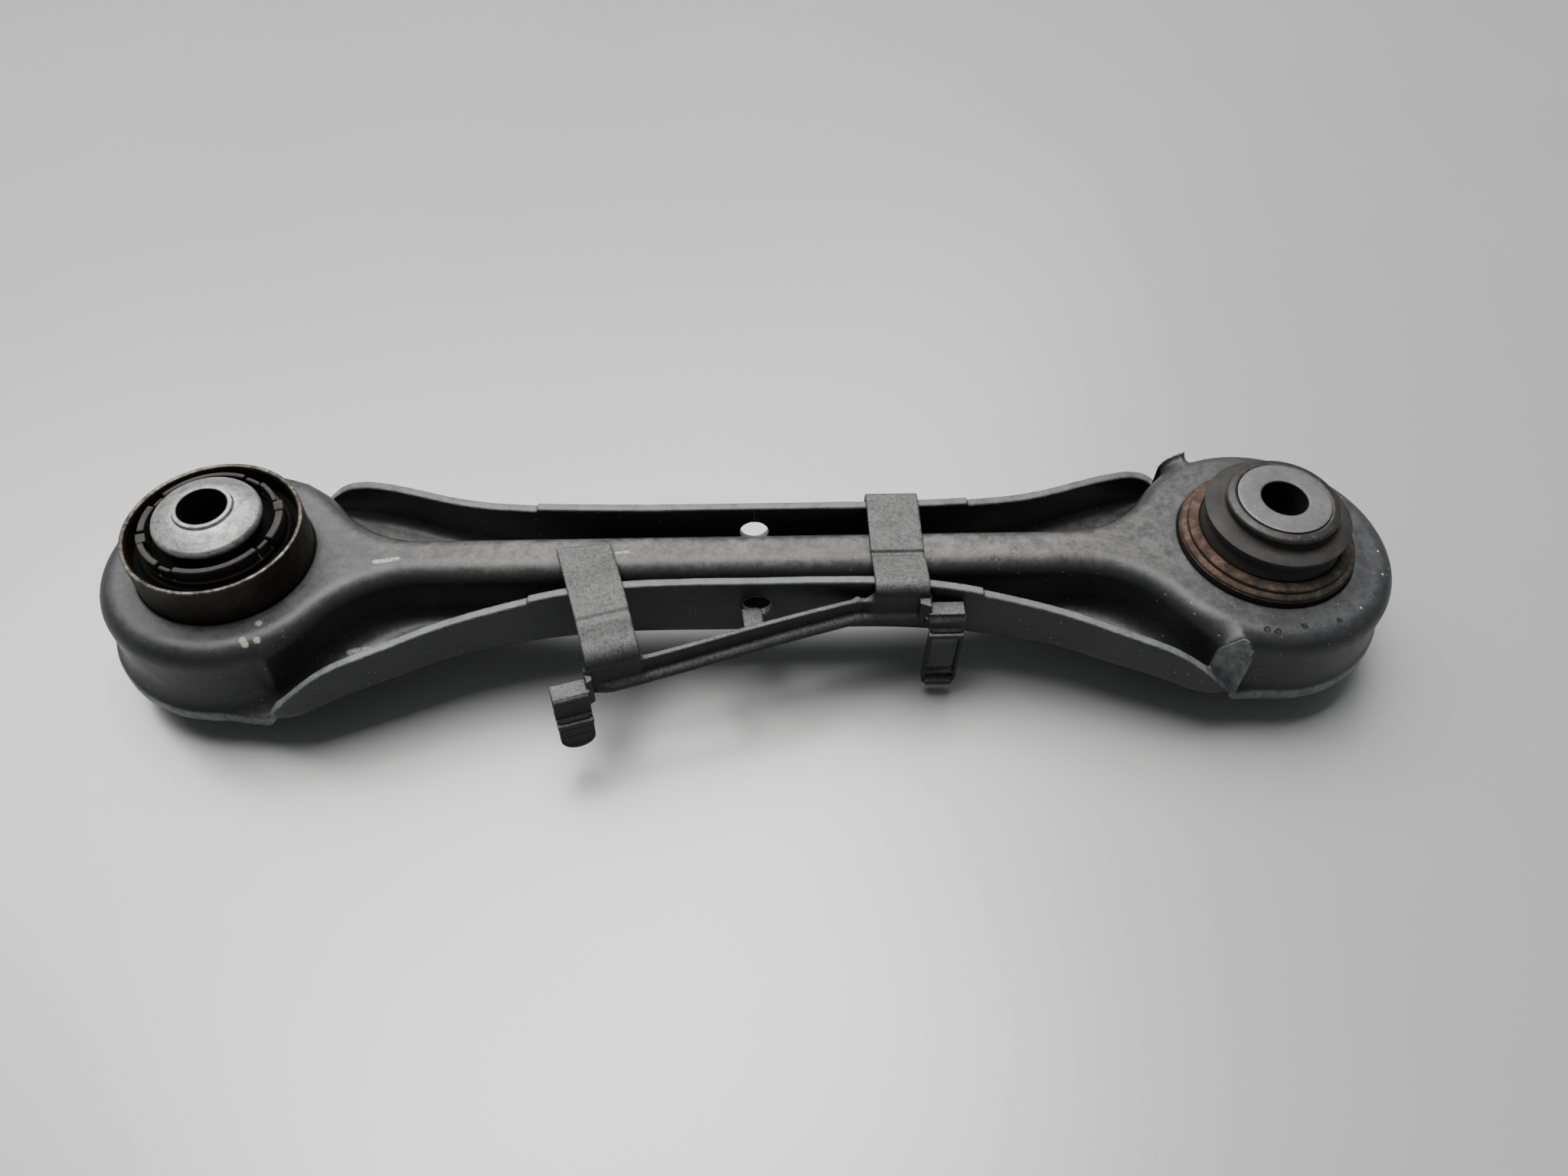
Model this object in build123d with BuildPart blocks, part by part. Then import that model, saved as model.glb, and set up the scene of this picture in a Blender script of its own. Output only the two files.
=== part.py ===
"""Stamped-steel suspension control arm with a rubber bush, a sleeve ball joint and a clip-on cable holder.

Frame: millimetres, +Z up, +X along the arm from the rubber bush to the ball joint.
The origin is on the bush's bolt axis, at the level of the sleeves' lower faces. The pieces are drawn
about the arm's middle, half the span from either bolt axis, and moved to the origin when written.
"""

import math
import os

from build123d import *

# Arm pressing
SPAN = 278.5
SHEET = 2.5
CROWN_Z = 34.5
RIDGE_HALF = 7.5
RIDGE_NECK_R = 30.0
SHOULDER_R = 5.6
EYE_R = {"left": 33.0, "right": 35.5}
LIP_R = {"left": 35.2, "right": 37.0}
LIP_Z = {"left": 9.0, "right": 10.3}
EYE_BORE_R = {"left": 22.5, "right": 23.5}
COLLAR_Z = {"left": 11.5, "right": 15.0}
CORNER_X = 128.5
LOCATING_HOLE_R = 4.0
LOCATING_HOLE_Z = 28.0
FLOOR_Z = 14.2
# Free edge of the side walls: distance along the arm, half-width, height
EDGE = [
    (0.0, 14.5, 37.1),
    (20.0, 14.5, 37.1),
    (32.0, 14.7, 36.9),
    (45.0, 15.6, 36.3),
    (55.0, 16.8, 35.4),
    (65.0, 18.6, 33.4),
    (75.0, 20.9, 32.2),
    (85.0, 24.1, 31.2),
    (94.0, 27.8, 30.2),
    (104.0, 31.6, 29.0),
    (111.0, 34.2, 27.2),
    (117.0, 36.4, 23.8),
    (121.5, 37.2, 19.8),
    (CORNER_X, 36.6, 12.0),
]
NOTCH_X = 59.5

# Rubber bush
BUSH_MID_Z = 27.05
BUSH_HALF = 27.05
BUSH_BORE_R = 6.1
OUTER_SLEEVE_R = (21.0, 22.5)
OUTER_SLEEVE_HALF = 19.65
COLLAR_R = 13.55
SPIGOT_R = 7.4
CORE_R = 9.5
SPLIT_RING_R = (15.7, 18.1)
SPLIT_RING_TOP = 49.0
SPLITS = 6

# Sleeve ball joint
BALL_MID_Z = 25.7
BALL_R = 17.5
BALL_BORE_R = 6.0
BALL_FACE_R = 12.2
NECK_R = 10.5
CUP_R = 19.65
CUP_HALF = 8.65
RUN_GAP = 0.06
HOUSING_HALF = 11.3
HOUSING_MOUTH_R = 16.2

# Cable holder
BAND = 2.2
SKEW_DEG = 15.5
STRAP_T = 1.8
STRAP_W = 9.4

os.makedirs("parts", exist_ok=True)

LEFT_X = -SPAN / 2
RIGHT_X = SPAN / 2


def finish(builder, label):
    """Name a finished piece and write its file, measured from the bush's bolt axis."""
    piece = builder.part.moved(Location((SPAN / 2, 0, 0)))
    piece.label = label
    export_step(piece, f"parts/{label}.step")


def turned(label, centre_x, profile):
    """Turn a closed half-section of (radius, height) points about the vertical axis at centre_x."""
    with BuildPart() as piece:
        with BuildSketch(Plane.XZ):
            with BuildLine():
                Polyline(*[(centre_x + r, z) for r, z in profile], close=True)
            make_face()
        revolve(axis=Axis((centre_x, 0, 0), (0, 0, 1)))
    finish(piece, label)
    return piece


def mirrored_profile(profile, mid_z):
    """The same half-section turned over about the level mid_z."""
    return [(r, 2 * mid_z - z) for r, z in profile]


def edge_slope(i):
    """Slope of the wall in plan at edge point i."""
    a = EDGE[max(i - 1, 0)]
    b = EDGE[min(i + 1, len(EDGE) - 1)]
    return (b[1] - a[1]) / (b[0] - a[0])


def wall_points(inset):
    """Wall line in plan from the left corner to the right one, moved inwards by inset."""
    half = []
    for i, (x, y, _) in enumerate(EDGE):
        half.append((x, y - inset * math.hypot(1, edge_slope(i))))
    left = [(-x, y) for x, y in reversed(half[1:])]
    return left + half


def under_points(lift):
    """Underside of the pressing between the two lips, raised by lift."""
    left, right = LIP_Z["left"] + lift, LIP_Z["right"] + lift
    floor = FLOOR_Z + lift
    return [
        (-CORNER_X, left),
        (-119.0, left + 1.2),
        (-106.0, floor - 1.1),
        (-92.0, floor),
        (0.0, floor),
        (92.0, floor),
        (106.0, floor - 0.9),
        (119.0, right + 1.0),
        (CORNER_X, right),
    ]


def side_prism(upper, lift):
    """Everything between the raised underside and the given upper line, right across the arm."""
    left, right = LIP_Z["left"] + lift, LIP_Z["right"] + lift
    with BuildPart() as prism:
        with BuildSketch(Plane.XZ):
            with BuildLine():
                Line((-190, left), (-CORNER_X, left))
                Spline(*under_points(lift), tangents=[(1, 0), (1, 0)])
                Line((CORNER_X, right), (190, right))
                add(upper)
            make_face()
        extrude(amount=60, both=True)
    return prism.part


def edge_line():
    """Upper trim line: lip, corner, rising wall, small notch, level middle and back down again."""
    outer = [(x, z) for x, _, z in EDGE if x > NOTCH_X]
    inner = [(x, z) for x, _, z in EDGE if x < NOTCH_X]
    notch_low, notch_high = (NOTCH_X, 34.1), (NOTCH_X, 34.9)
    left_lip, right_lip = LIP_Z["left"] + SHEET, LIP_Z["right"] + SHEET
    mid = [(-x, z) for x, z in reversed(inner[1:])] + inner
    with BuildLine() as trim:
        Polyline((190, LIP_Z["right"]), (190, right_lip), (CORNER_X + 1.5, right_lip), outer[-1])
        Spline(notch_low, *outer)
        Line(notch_low, notch_high)
        Spline((-notch_high[0], notch_high[1]), *mid, notch_high)
        Line((-notch_low[0], notch_low[1]), (-notch_high[0], notch_high[1]))
        Spline((-notch_low[0], notch_low[1]), *[(-x, z) for x, z in outer])
        Polyline((-outer[-1][0], outer[-1][1]), (-CORNER_X - 1.5, left_lip), (-190, left_lip))
        Line((-190, left_lip), (-190, LIP_Z["left"]))
    return trim.line


def open_top(lift):
    """Upper line well above the arm."""
    left, right = LIP_Z["left"] + lift, LIP_Z["right"] + lift
    with BuildLine() as line:
        Polyline((190, right), (190, 80), (-190, 80), (-190, left))
    return line.line


def rim_prism():
    """Prism over the trimmed outline of the whole sheet in plan."""
    with BuildPart() as prism:
        with BuildSketch():
            with BuildLine():
                CenterArc((LEFT_X, 0), LIP_R["left"], 180, -90)
                Line((LEFT_X, LIP_R["left"]), (-CORNER_X, EDGE[-1][1]))
                Spline(*wall_points(0))
                Line((CORNER_X, EDGE[-1][1]), (RIGHT_X, LIP_R["right"]))
                CenterArc((RIGHT_X, 0), LIP_R["right"], 90, -90)
                mirror(about=Plane.XZ)
            make_face()
        extrude(amount=60)
    return prism.part


def channel_prism():
    """Prism over the space between the two side walls in plan."""
    points = wall_points(SHEET)
    with BuildPart() as prism:
        with BuildSketch():
            with BuildLine():
                Spline(*points)
                Polyline(points[-1], (160, points[-1][1]), (160, 0))
                Polyline((-160, 0), (-160, points[0][1]), points[0])
                mirror(about=Plane.XZ)
            make_face()
        extrude(amount=60)
    return prism.part


def hat(inset, low):
    """Raised form of the sheet: both eyes and the ridge that joins them, with rounded shoulders."""
    with BuildPart() as form:
        with BuildSketch(Plane.XY.offset(low)) as plan:
            with Locations((LEFT_X, 0)):
                Circle(EYE_R["left"] - inset)
            with Locations((RIGHT_X, 0)):
                Circle(EYE_R["right"] - inset)
            Rectangle(SPAN, 2 * (RIDGE_HALF - inset))
            necks = [v for v in plan.vertices() if abs(abs(v.Y) - (RIDGE_HALF - inset)) < 0.01]
            fillet(necks, RIDGE_NECK_R + inset)
        extrude(amount=CROWN_Z - inset - low)
        crown = form.faces().sort_by(Axis.Z)[-1]
        fillet(crown.edges(), SHOULDER_R - inset)
    return form.part


def make_pressing():
    """One sheet: rim and side walls, valley floor, ridge, drawn eyes with collars, locating holes."""
    with BuildPart() as sheet:
        add(rim_prism())
        add(side_prism(edge_line(), 0), mode=Mode.INTERSECT)
        add(channel_prism() & side_prism(open_top(SHEET), SHEET), mode=Mode.SUBTRACT)
        add(hat(0, 0) & side_prism(open_top(0), 0))
        add(hat(SHEET, -5), mode=Mode.SUBTRACT)
        for side, x in (("left", LEFT_X), ("right", RIGHT_X)):
            bore = EYE_BORE_R[side]
            with BuildSketch(Plane.XY.offset(COLLAR_Z[side])):
                with Locations((x, 0)):
                    Circle(bore + SHEET)
            extrude(amount=CROWN_Z - 1.0 - COLLAR_Z[side])
            with BuildSketch(Plane.XY):
                with Locations((x, 0)):
                    Circle(bore)
            extrude(amount=60, mode=Mode.SUBTRACT)
        for start, way in ((9.5, 1), (-9.5, -1)):
            with BuildSketch(Plane.XZ.offset(start)):
                with Locations((0, LOCATING_HOLE_Z)):
                    Circle(LOCATING_HOLE_R)
            extrude(amount=way * 20, mode=Mode.SUBTRACT)
    return sheet


pressing = make_pressing()
finish(pressing, "arm_pressing")


def arc_turned(label, centre_x, draw):
    """Turn the closed half-section that draw(centre_x) returns about the vertical axis at centre_x."""
    with BuildPart() as piece:
        with BuildSketch(Plane.XZ):
            add(draw(centre_x))
        revolve(axis=Axis((centre_x, 0, 0), (0, 0, 1)))
    finish(piece, label)
    return piece


# Rubber bush: plain revolved pieces about the left bolt axis, alike above and below its middle
def bush_section(points):
    """Full half-section from the (radius, height above the middle) points of its upper right side."""
    upper = [(r, BUSH_MID_Z + h) for r, h in points]
    lower = [(r, BUSH_MID_Z - h) for r, h in reversed(points)]
    return upper + lower


sleeve_inner, sleeve_outer = OUTER_SLEEVE_R
turned(
    "bush_outer_sleeve",
    LEFT_X,
    bush_section(
        [
            (sleeve_inner, OUTER_SLEEVE_HALF - 0.5),
            (sleeve_inner + 0.4, OUTER_SLEEVE_HALF),
            (sleeve_outer - 0.4, OUTER_SLEEVE_HALF),
            (sleeve_outer, OUTER_SLEEVE_HALF - 0.6),
        ]
    ),
)
turned(
    "bush_inner_sleeve",
    LEFT_X,
    bush_section(
        [
            (BUSH_BORE_R, BUSH_HALF),
            (SPIGOT_R - 0.3, BUSH_HALF),
            (SPIGOT_R, BUSH_HALF - 0.3),
            (SPIGOT_R, BUSH_HALF - 5.6),
            (CORE_R, BUSH_HALF - 5.6),
        ]
    ),
)
COLLAR_PROFILE = [
    (SPIGOT_R + 0.02, 48.6),
    (12.9, 48.6),
    (COLLAR_R, 49.2),
    (COLLAR_R, 50.4),
    (13.3, 50.95),
    (12.2, 51.6),
    (10.4, 52.55),
    (8.7, 53.2),
    (7.9, 53.4),
    (SPIGOT_R + 0.02, 53.4),
]
turned("bush_collar_upper", LEFT_X, COLLAR_PROFILE)
turned("bush_collar_lower", LEFT_X, mirrored_profile(COLLAR_PROFILE, BUSH_MID_Z))
turned(
    "bush_rubber",
    LEFT_X,
    bush_section(
        [
            (CORE_R + 0.04, 17.6),
            (13.0, 17.9),
            (SPLIT_RING_R[0] - 0.5, 17.4),
            (SPLIT_RING_R[0] - 0.5, 16.4),
            (SPLIT_RING_R[1] + 0.3, 16.4),
            (19.4, 14.6),
            (sleeve_inner - 0.01, 14.0),
        ]
    ),
)


def split_ring(label, turned_over):
    """Stiffening ring on the rubber's end face, slit into leaves that stay joined at the foot."""
    inner, outer = SPLIT_RING_R
    foot = BUSH_MID_Z + 16.41
    profile = [(inner, foot), (outer, foot), (outer, SPLIT_RING_TOP - 0.6)]
    profile += [(outer - 0.5, SPLIT_RING_TOP), (inner + 0.3, SPLIT_RING_TOP), (inner, SPLIT_RING_TOP - 0.4)]
    with BuildPart() as ring:
        with BuildSketch(Plane.XZ):
            with BuildLine():
                Polyline(*[(LEFT_X + r, z) for r, z in profile], close=True)
            make_face()
        revolve(axis=Axis((LEFT_X, 0, 0), (0, 0, 1)))
        with BuildSketch(Plane.XY.offset(foot + 1.6)):
            with Locations((LEFT_X, 0)):
                with PolarLocations((inner + outer) / 2, SPLITS, start_angle=22):
                    Rectangle(6, 1.1)
        extrude(amount=8, mode=Mode.SUBTRACT)
        if turned_over:
            mirror(about=Plane.XY.offset(BUSH_MID_Z), mode=Mode.REPLACE)
    finish(ring, label)


split_ring("bush_split_ring_upper", False)
split_ring("bush_split_ring_lower", True)


# Sleeve ball joint, alike above and below the ball's middle
def joint_section(points):
    """Full half-section from the (radius, height above the middle) points of its upper right side."""
    upper = [(r, BALL_MID_Z + h) for r, h in points]
    lower = [(r, BALL_MID_Z - h) for r, h in reversed(points)]
    return upper + lower


def ball_sleeve_section(x):
    """Half-section of the sleeve: bore, end flanges, necks and the ball."""
    neck_h = math.sqrt(BALL_R**2 - NECK_R**2)
    right = [(NECK_R, 23.3), (BALL_FACE_R, 23.5), (BALL_FACE_R, BALL_MID_Z - 0.3)]
    right += [(BALL_FACE_R - 0.3, BALL_MID_Z)]
    right += [(BALL_BORE_R + 0.4, BALL_MID_Z), (BALL_BORE_R, BALL_MID_Z - 0.4)]
    up = [(x + r, BALL_MID_Z + h) for r, h in [(NECK_R, neck_h)] + right]
    down = [(x + r, BALL_MID_Z - h) for r, h in [(NECK_R, neck_h)] + right]
    with BuildSketch() as section:
        with BuildLine():
            ThreePointArc(up[0], (x + BALL_R, BALL_MID_Z), down[0])
            Polyline(*up)
            Polyline(*down)
            Line(up[-1], down[-1])
        make_face()
    return section.sketch


def cup_section(x, sign):
    """Half-section of one bearing cup: spherical seat, cylindrical back."""
    seat = BALL_R + RUN_GAP
    mouth = math.sqrt(seat**2 - CUP_HALF**2)
    low, high = BALL_MID_Z + sign * 0.05, BALL_MID_Z + sign * CUP_HALF
    seat_low = math.sqrt(seat**2 - 0.05**2)
    mid_h = CUP_HALF / 2
    mid = (x + math.sqrt(seat**2 - mid_h**2), BALL_MID_Z + sign * mid_h)
    with BuildSketch() as section:
        with BuildLine():
            ThreePointArc((x + seat_low, low), mid, (x + mouth, high))
            Polyline((x + mouth, high), (x + CUP_R, high), (x + CUP_R, low), (x + seat_low, low))
        make_face()
    return section.sketch


arc_turned("ball_sleeve", RIGHT_X, ball_sleeve_section)
arc_turned("bearing_cup_upper", RIGHT_X, lambda x: cup_section(x, 1))
arc_turned("bearing_cup_lower", RIGHT_X, lambda x: cup_section(x, -1))
housing_low, housing_high = BALL_MID_Z - HOUSING_HALF, BALL_MID_Z + HOUSING_HALF
cup_low, cup_high = BALL_MID_Z - CUP_HALF, BALL_MID_Z + CUP_HALF
housing_r = EYE_BORE_R["right"]
turned(
    "joint_housing",
    RIGHT_X,
    [
        (CUP_R + 0.01, housing_low),
        (housing_r - 0.6, housing_low),
        (housing_r, housing_low + 0.6),
        (housing_r, housing_high - 0.6),
        (housing_r - 0.6, housing_high),
        (HOUSING_MOUTH_R, housing_high),
        (HOUSING_MOUTH_R, cup_high + 0.01),
        (CUP_R + 0.01, cup_high + 0.01),
    ],
)
turned(
    "joint_closing_ring",
    RIGHT_X,
    [
        (HOUSING_MOUTH_R, housing_low),
        (CUP_R, housing_low),
        (CUP_R, cup_low - 0.01),
        (HOUSING_MOUTH_R, cup_low - 0.01),
    ],
)
CLAMP_RING_PROFILE = [
    (18.9, housing_high + 0.02),
    (23.0, housing_high + 0.02),
    (23.1, housing_high + 0.15),
    (22.6, 37.5),
    (21.75, 37.8),
    (21.7, 38.7),
    (21.4, 39.0),
    (19.2, 39.5),
    (18.9, 39.3),
]
BOOT_PROFILE = [
    (17.2, housing_high + 0.05),
    (18.8, housing_high + 0.05),
    (18.8, 39.6),
    (18.3, 41.0),
    (17.5, 42.4),
    (17.6, 43.0),
    (18.7, 43.8),
    (19.1, 44.6),
    (19.1, 45.8),
    (18.8, 46.2),
    (16.5, 46.8),
    (14.6, 46.9),
    (14.0, 47.4),
    (14.0, 49.15),
    (12.4, 49.15),
    (NECK_R + 0.15, 48.75),
    (NECK_R + 0.15, 45.0),
    (13.2, 45.3),
    (16.9, 45.2),
    (17.5, 44.7),
    (16.3, 43.7),
    (16.0, 42.2),
    (16.9, 40.6),
    (17.4, 39.2),
    (17.2, 38.6),
]
LIP_RING_PROFILE = [
    (12.45, 49.3),
    (14.5, 49.3),
    (14.85, 49.65),
    (14.85, 50.35),
    (14.5, 50.7),
    (12.9, 51.1),
    (12.45, 51.0),
]
for name, profile in (
    ("boot_clamp_ring", CLAMP_RING_PROFILE),
    ("boot", BOOT_PROFILE),
    ("boot_lip_ring", LIP_RING_PROFILE),
):
    turned(f"{name}_upper", RIGHT_X, profile)
    turned(f"{name}_lower", RIGHT_X, mirrored_profile(profile, BALL_MID_Z))


# Cable holder: one moulding. Its front face is square to a skewed direction on the left and follows
# the arm on the right.
SKEW = math.radians(SKEW_DEG)
ALONG = Vector(math.cos(SKEW), math.sin(SKEW), 0)
OUTWARD = Vector(math.sin(SKEW), -math.cos(SKEW), 0)
FACE_Y = -17.9
CREST = Vector(-39.0, -1.33, 0)
REACH = 33.4
LEFT_FACE = CREST + OUTWARD * REACH
LEFT_BAND_W = 14.3
LEFT_END_Y = -1.4
RIGHT_BAND_X = (30.6, 45.0)
RAIL_LOW, RAIL_HIGH = 22.0, 31.0
RUN = (FACE_Y - LEFT_FACE.Y) / ALONG.Y
BEND_X = LEFT_FACE.X + RUN * ALONG.X

left_front = Plane(origin=LEFT_FACE, x_dir=ALONG, z_dir=OUTWARD)
right_front = Plane(origin=(0, FACE_Y, 0), x_dir=(1, 0, 0), z_dir=(0, -1, 0))
left_side = Plane(origin=CREST, x_dir=OUTWARD, z_dir=-ALONG)
right_side = Plane(origin=(RIGHT_BAND_X[0], 0, 0), x_dir=(0, 1, 0), z_dir=(1, 0, 0))
left_clamp_plane = Plane(origin=LEFT_FACE - ALONG * LEFT_BAND_W, x_dir=-ALONG, z_dir=-OUTWARD)
right_clamp_plane = Plane(origin=(RIGHT_BAND_X[1], FACE_Y, 0), x_dir=(1, 0, 0), z_dir=(0, -1, 0))
CLAMPS = {
    "left": {"top": 28.2, "block_low": 20.0, "strap_low": 8.2},
    "right": {"top": 32.0, "block_low": 26.9, "strap_low": 3.8},
}
HINGE_OUT = 5.4


def band(outer, inner):
    """Closed section of a bent band from its outer line and its inner line."""
    with BuildSketch() as section:
        with BuildLine():
            Polyline(*outer, *reversed(inner), close=True)
        make_face()
    return section.sketch


def clamp_block(plane, out, size):
    """Cheek and stepped block that carry a cable strap, out being +1 or -1 along the plane's normal."""
    top, low = size["top"], size["block_low"]
    with BuildPart() as block:
        with BuildSketch(plane):
            with Locations((-0.9, (top + 1.8 + low - 1.5) / 2)):
                Rectangle(2.2, top + 1.8 - low + 1.5)
        extrude(amount=out * 4.4)
        with BuildSketch(plane):
            with BuildLine():
                Polyline((0.0, low), (9.6, low), (9.6, top), (0.0, top), close=True)
            make_face()
        extrude(amount=out * 3.9)
        with BuildSketch(plane):
            with BuildLine():
                Polyline((0.0, low), (9.7, low), (9.7, top - 1.2), (0.0, top - 1.2), close=True)
            make_face()
        extrude(amount=out * 4.3)
    return block.part


with BuildPart() as holder:
    # left band, from the ridge out past the near wall and down
    with BuildSketch(left_side):
        add(
            band(
                [
                    (-5.0, 36.2),
                    (0.5, 36.4),
                    (11.0, 38.3),
                    (16.8, 38.6),
                    (22.6, 38.3),
                    (REACH - 0.8, 34.2),
                    (REACH, 33.0),
                    (REACH, RAIL_LOW),
                ],
                [
                    (-5.0, 34.7),
                    (0.5, 34.7),
                    (10.0, 36.98),
                    (16.8, 37.1),
                    (22.0, 36.8),
                    (REACH - 2.6, 32.6),
                    (REACH - 2.2, 31.8),
                    (REACH - 2.2, RAIL_LOW),
                ],
            )
        )
        with Locations((8.0, 34.0)):
            Rectangle(1.4, 8.0)
    extrude(amount=LEFT_BAND_W)
    with BuildSketch(Plane.XY.offset(33)):
        with Locations((CREST.X - 5, LEFT_END_Y + 5)):
            Rectangle(30, 10)
    extrude(amount=6, mode=Mode.SUBTRACT)
    # right band, hooked over both side walls, with a snap rib inside each wall
    with BuildSketch(right_side):
        add(
            band(
                [
                    (17.1, 30.5),
                    (17.1, 36.9),
                    (16.1, 38.1),
                    (13.5, 38.3),
                    (-3.7, 36.5),
                    (-14.6, 38.5),
                    (-16.4, 38.2),
                    (FACE_Y, 36.4),
                    (FACE_Y, RAIL_LOW),
                ],
                [
                    (15.7, 30.5),
                    (15.7, 37.0),
                    (12.0, 37.0),
                    (0.0, 34.7),
                    (-12.0, 37.0),
                    (-15.7, 37.0),
                    (-15.7, RAIL_LOW),
                ],
            )
        )
        with Locations((-11.2, 34.0), (11.2, 34.0)):
            Rectangle(1.6, 8.0)
    extrude(amount=RIGHT_BAND_X[1] - RIGHT_BAND_X[0])
    # rail between the two bands, with a rounded bead along its foot
    with BuildSketch(left_front) as left_rail:
        with BuildLine():
            Polyline(
                (-1, RAIL_LOW),
                (RUN + 0.3, RAIL_LOW),
                (RUN + 0.3, RAIL_HIGH),
                (0, RAIL_HIGH),
                (0, 33),
                (-1, 33),
                close=True,
            )
        make_face()
        corner = left_rail.vertices().sort_by_distance((0, RAIL_HIGH, 0))[0]
        fillet(corner, 1.8)
    extrude(amount=-BAND)
    with BuildSketch(right_front) as right_rail:
        with BuildLine():
            x0 = RIGHT_BAND_X[0]
            Polyline(
                (BEND_X - 0.3, RAIL_LOW),
                (x0 + 1, RAIL_LOW),
                (x0 + 1, 37),
                (x0, 37),
                (x0, RAIL_HIGH),
                (BEND_X - 0.3, RAIL_HIGH),
                close=True,
            )
        make_face()
    extrude(amount=-BAND)
    with BuildSketch(left_front):
        with Locations(((RUN - LEFT_BAND_W) / 2, 22.6)):
            Rectangle(RUN + LEFT_BAND_W, 2.6)
    extrude(amount=1.5)
    with BuildSketch(right_front):
        with Locations(((BEND_X + RIGHT_BAND_X[1]) / 2, 22.6)):
            Rectangle(RIGHT_BAND_X[1] - BEND_X, 2.6)
    extrude(amount=1.5)
    # locating plug through the near wall's hole
    with BuildSketch(Plane.XZ.offset(11.2)):
        with Locations((0, LOCATING_HOLE_Z)):
            RectangleRounded(6.4, 6.0, 2.4)
    extrude(amount=13.5)
    add(clamp_block(left_clamp_plane, -1, CLAMPS["left"]))
    add(clamp_block(right_clamp_plane, 1, CLAMPS["right"]))
finish(holder, "cable_holder")


def cable_strap(label, plane, out, size, window):
    """Hinged strap that hangs open from its block; a window or a plain tongue, round at its end."""
    top, low = size["block_low"] - 0.35, size["strap_low"]
    mid, half = 4.85, STRAP_W / 2
    end_r = half - 0.6
    with BuildPart() as strap:
        with BuildSketch(plane.offset(out * (HINGE_OUT - STRAP_T / 2))) as face:
            with BuildLine():
                Polyline(
                    (mid - half, top),
                    (mid + half, top),
                    (mid + end_r, low),
                    (mid - end_r, low),
                    close=True,
                )
            make_face()
            ends = face.vertices().sort_by(Axis.Y)[:2]
            fillet(ends, end_r * (0.8 if window else 0.97))
            if window:
                with Locations((mid, (top + low) / 2 + 1.6)):
                    RectangleRounded(6.2, top - low - 9.2, 0.6, mode=Mode.SUBTRACT)
        extrude(amount=out * STRAP_T)
        with BuildSketch(plane.offset(out * (HINGE_OUT + STRAP_T / 2 - 0.01))):
            with Locations((mid, top - 0.7)):
                Rectangle(STRAP_W, 1.4)
        extrude(amount=out * 0.5)
        if window:
            with BuildSketch(plane.offset(out * (HINGE_OUT + STRAP_T / 2 - 0.01))):
                with Locations((mid, low + 1.7)):
                    RectangleRounded(6.4, 1.6, 0.7)
            extrude(amount=out * 0.9)
    finish(strap, label)


cable_strap("cable_strap_left", left_clamp_plane, -1, CLAMPS["left"], False)
cable_strap("cable_strap_right", right_clamp_plane, 1, CLAMPS["right"], True)
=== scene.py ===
"""Suspension control arm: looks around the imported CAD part.

Lengths are in millimetres until a mesh is made. The distance fields measure x from the arm's
middle, halfway between the bush's axis and the joint's axis.
"""

import math

import bmesh
import bpy
import numpy as np
import openvdb
from mathutils import Matrix, Vector


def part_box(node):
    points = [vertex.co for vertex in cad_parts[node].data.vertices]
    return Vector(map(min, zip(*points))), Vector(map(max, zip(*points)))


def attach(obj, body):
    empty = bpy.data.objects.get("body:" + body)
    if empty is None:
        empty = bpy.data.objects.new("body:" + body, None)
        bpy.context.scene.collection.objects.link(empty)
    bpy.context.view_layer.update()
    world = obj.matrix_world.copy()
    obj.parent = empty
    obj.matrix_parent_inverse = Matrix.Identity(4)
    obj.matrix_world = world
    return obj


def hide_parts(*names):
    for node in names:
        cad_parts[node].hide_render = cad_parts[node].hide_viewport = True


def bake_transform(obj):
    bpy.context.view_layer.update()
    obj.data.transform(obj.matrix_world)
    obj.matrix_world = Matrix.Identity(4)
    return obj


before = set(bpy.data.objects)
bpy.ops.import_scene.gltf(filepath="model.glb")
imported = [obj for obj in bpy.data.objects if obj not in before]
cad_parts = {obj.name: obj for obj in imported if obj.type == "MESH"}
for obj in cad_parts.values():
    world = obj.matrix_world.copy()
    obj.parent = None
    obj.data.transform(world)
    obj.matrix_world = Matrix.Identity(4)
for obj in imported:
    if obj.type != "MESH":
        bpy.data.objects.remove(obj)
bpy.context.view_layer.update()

MM = 0.001
JOINT_X = sum(c.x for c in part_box("ball_sleeve")) / 2 / MM
MID_X = JOINT_X / 2
HALF_SPAN = MID_X


# -------- distance fields
def rmax(a, b, r):
    """Intersection of two distance fields with its edge rounded to radius r."""
    outer = np.sqrt(np.maximum(a + r, 0) ** 2 + np.maximum(b + r, 0) ** 2)
    return outer + np.minimum(np.maximum(a, b), -r)


def rmin(a, b, r):
    """Union of two distance fields with its corner filleted to radius r."""
    return -rmax(-a, -b, r)


def slab(v, low, high):
    """Distance to the layer between two values."""
    return np.abs(v - (low + high) / 2) - (high - low) / 2


def block(ranges, r, *coords):
    """Distance to a box given by its ranges along each coordinate, with edges rounded to r."""
    d = slab(coords[0], *ranges[0])
    for c, lim in zip(coords[1:], ranges[1:]):
        d = rmax(d, slab(c, *lim), r)
    return d


def path_distance(points, a, b):
    """Distance in the (a, b) plane to a run of straight segments."""
    best = None
    for (a0, b0), (a1, b1) in zip(points, points[1:]):
        da, db = a1 - a0, b1 - b0
        t = np.clip(((a - a0) * da + (b - b0) * db) / (da * da + db * db), 0, 1)
        d = np.hypot(a - a0 - t * da, b - b0 - t * db)
        best = d if best is None else np.minimum(best, d)
    return best


CURVE_STEPS = 5
SHARPEST = 0.02


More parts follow.
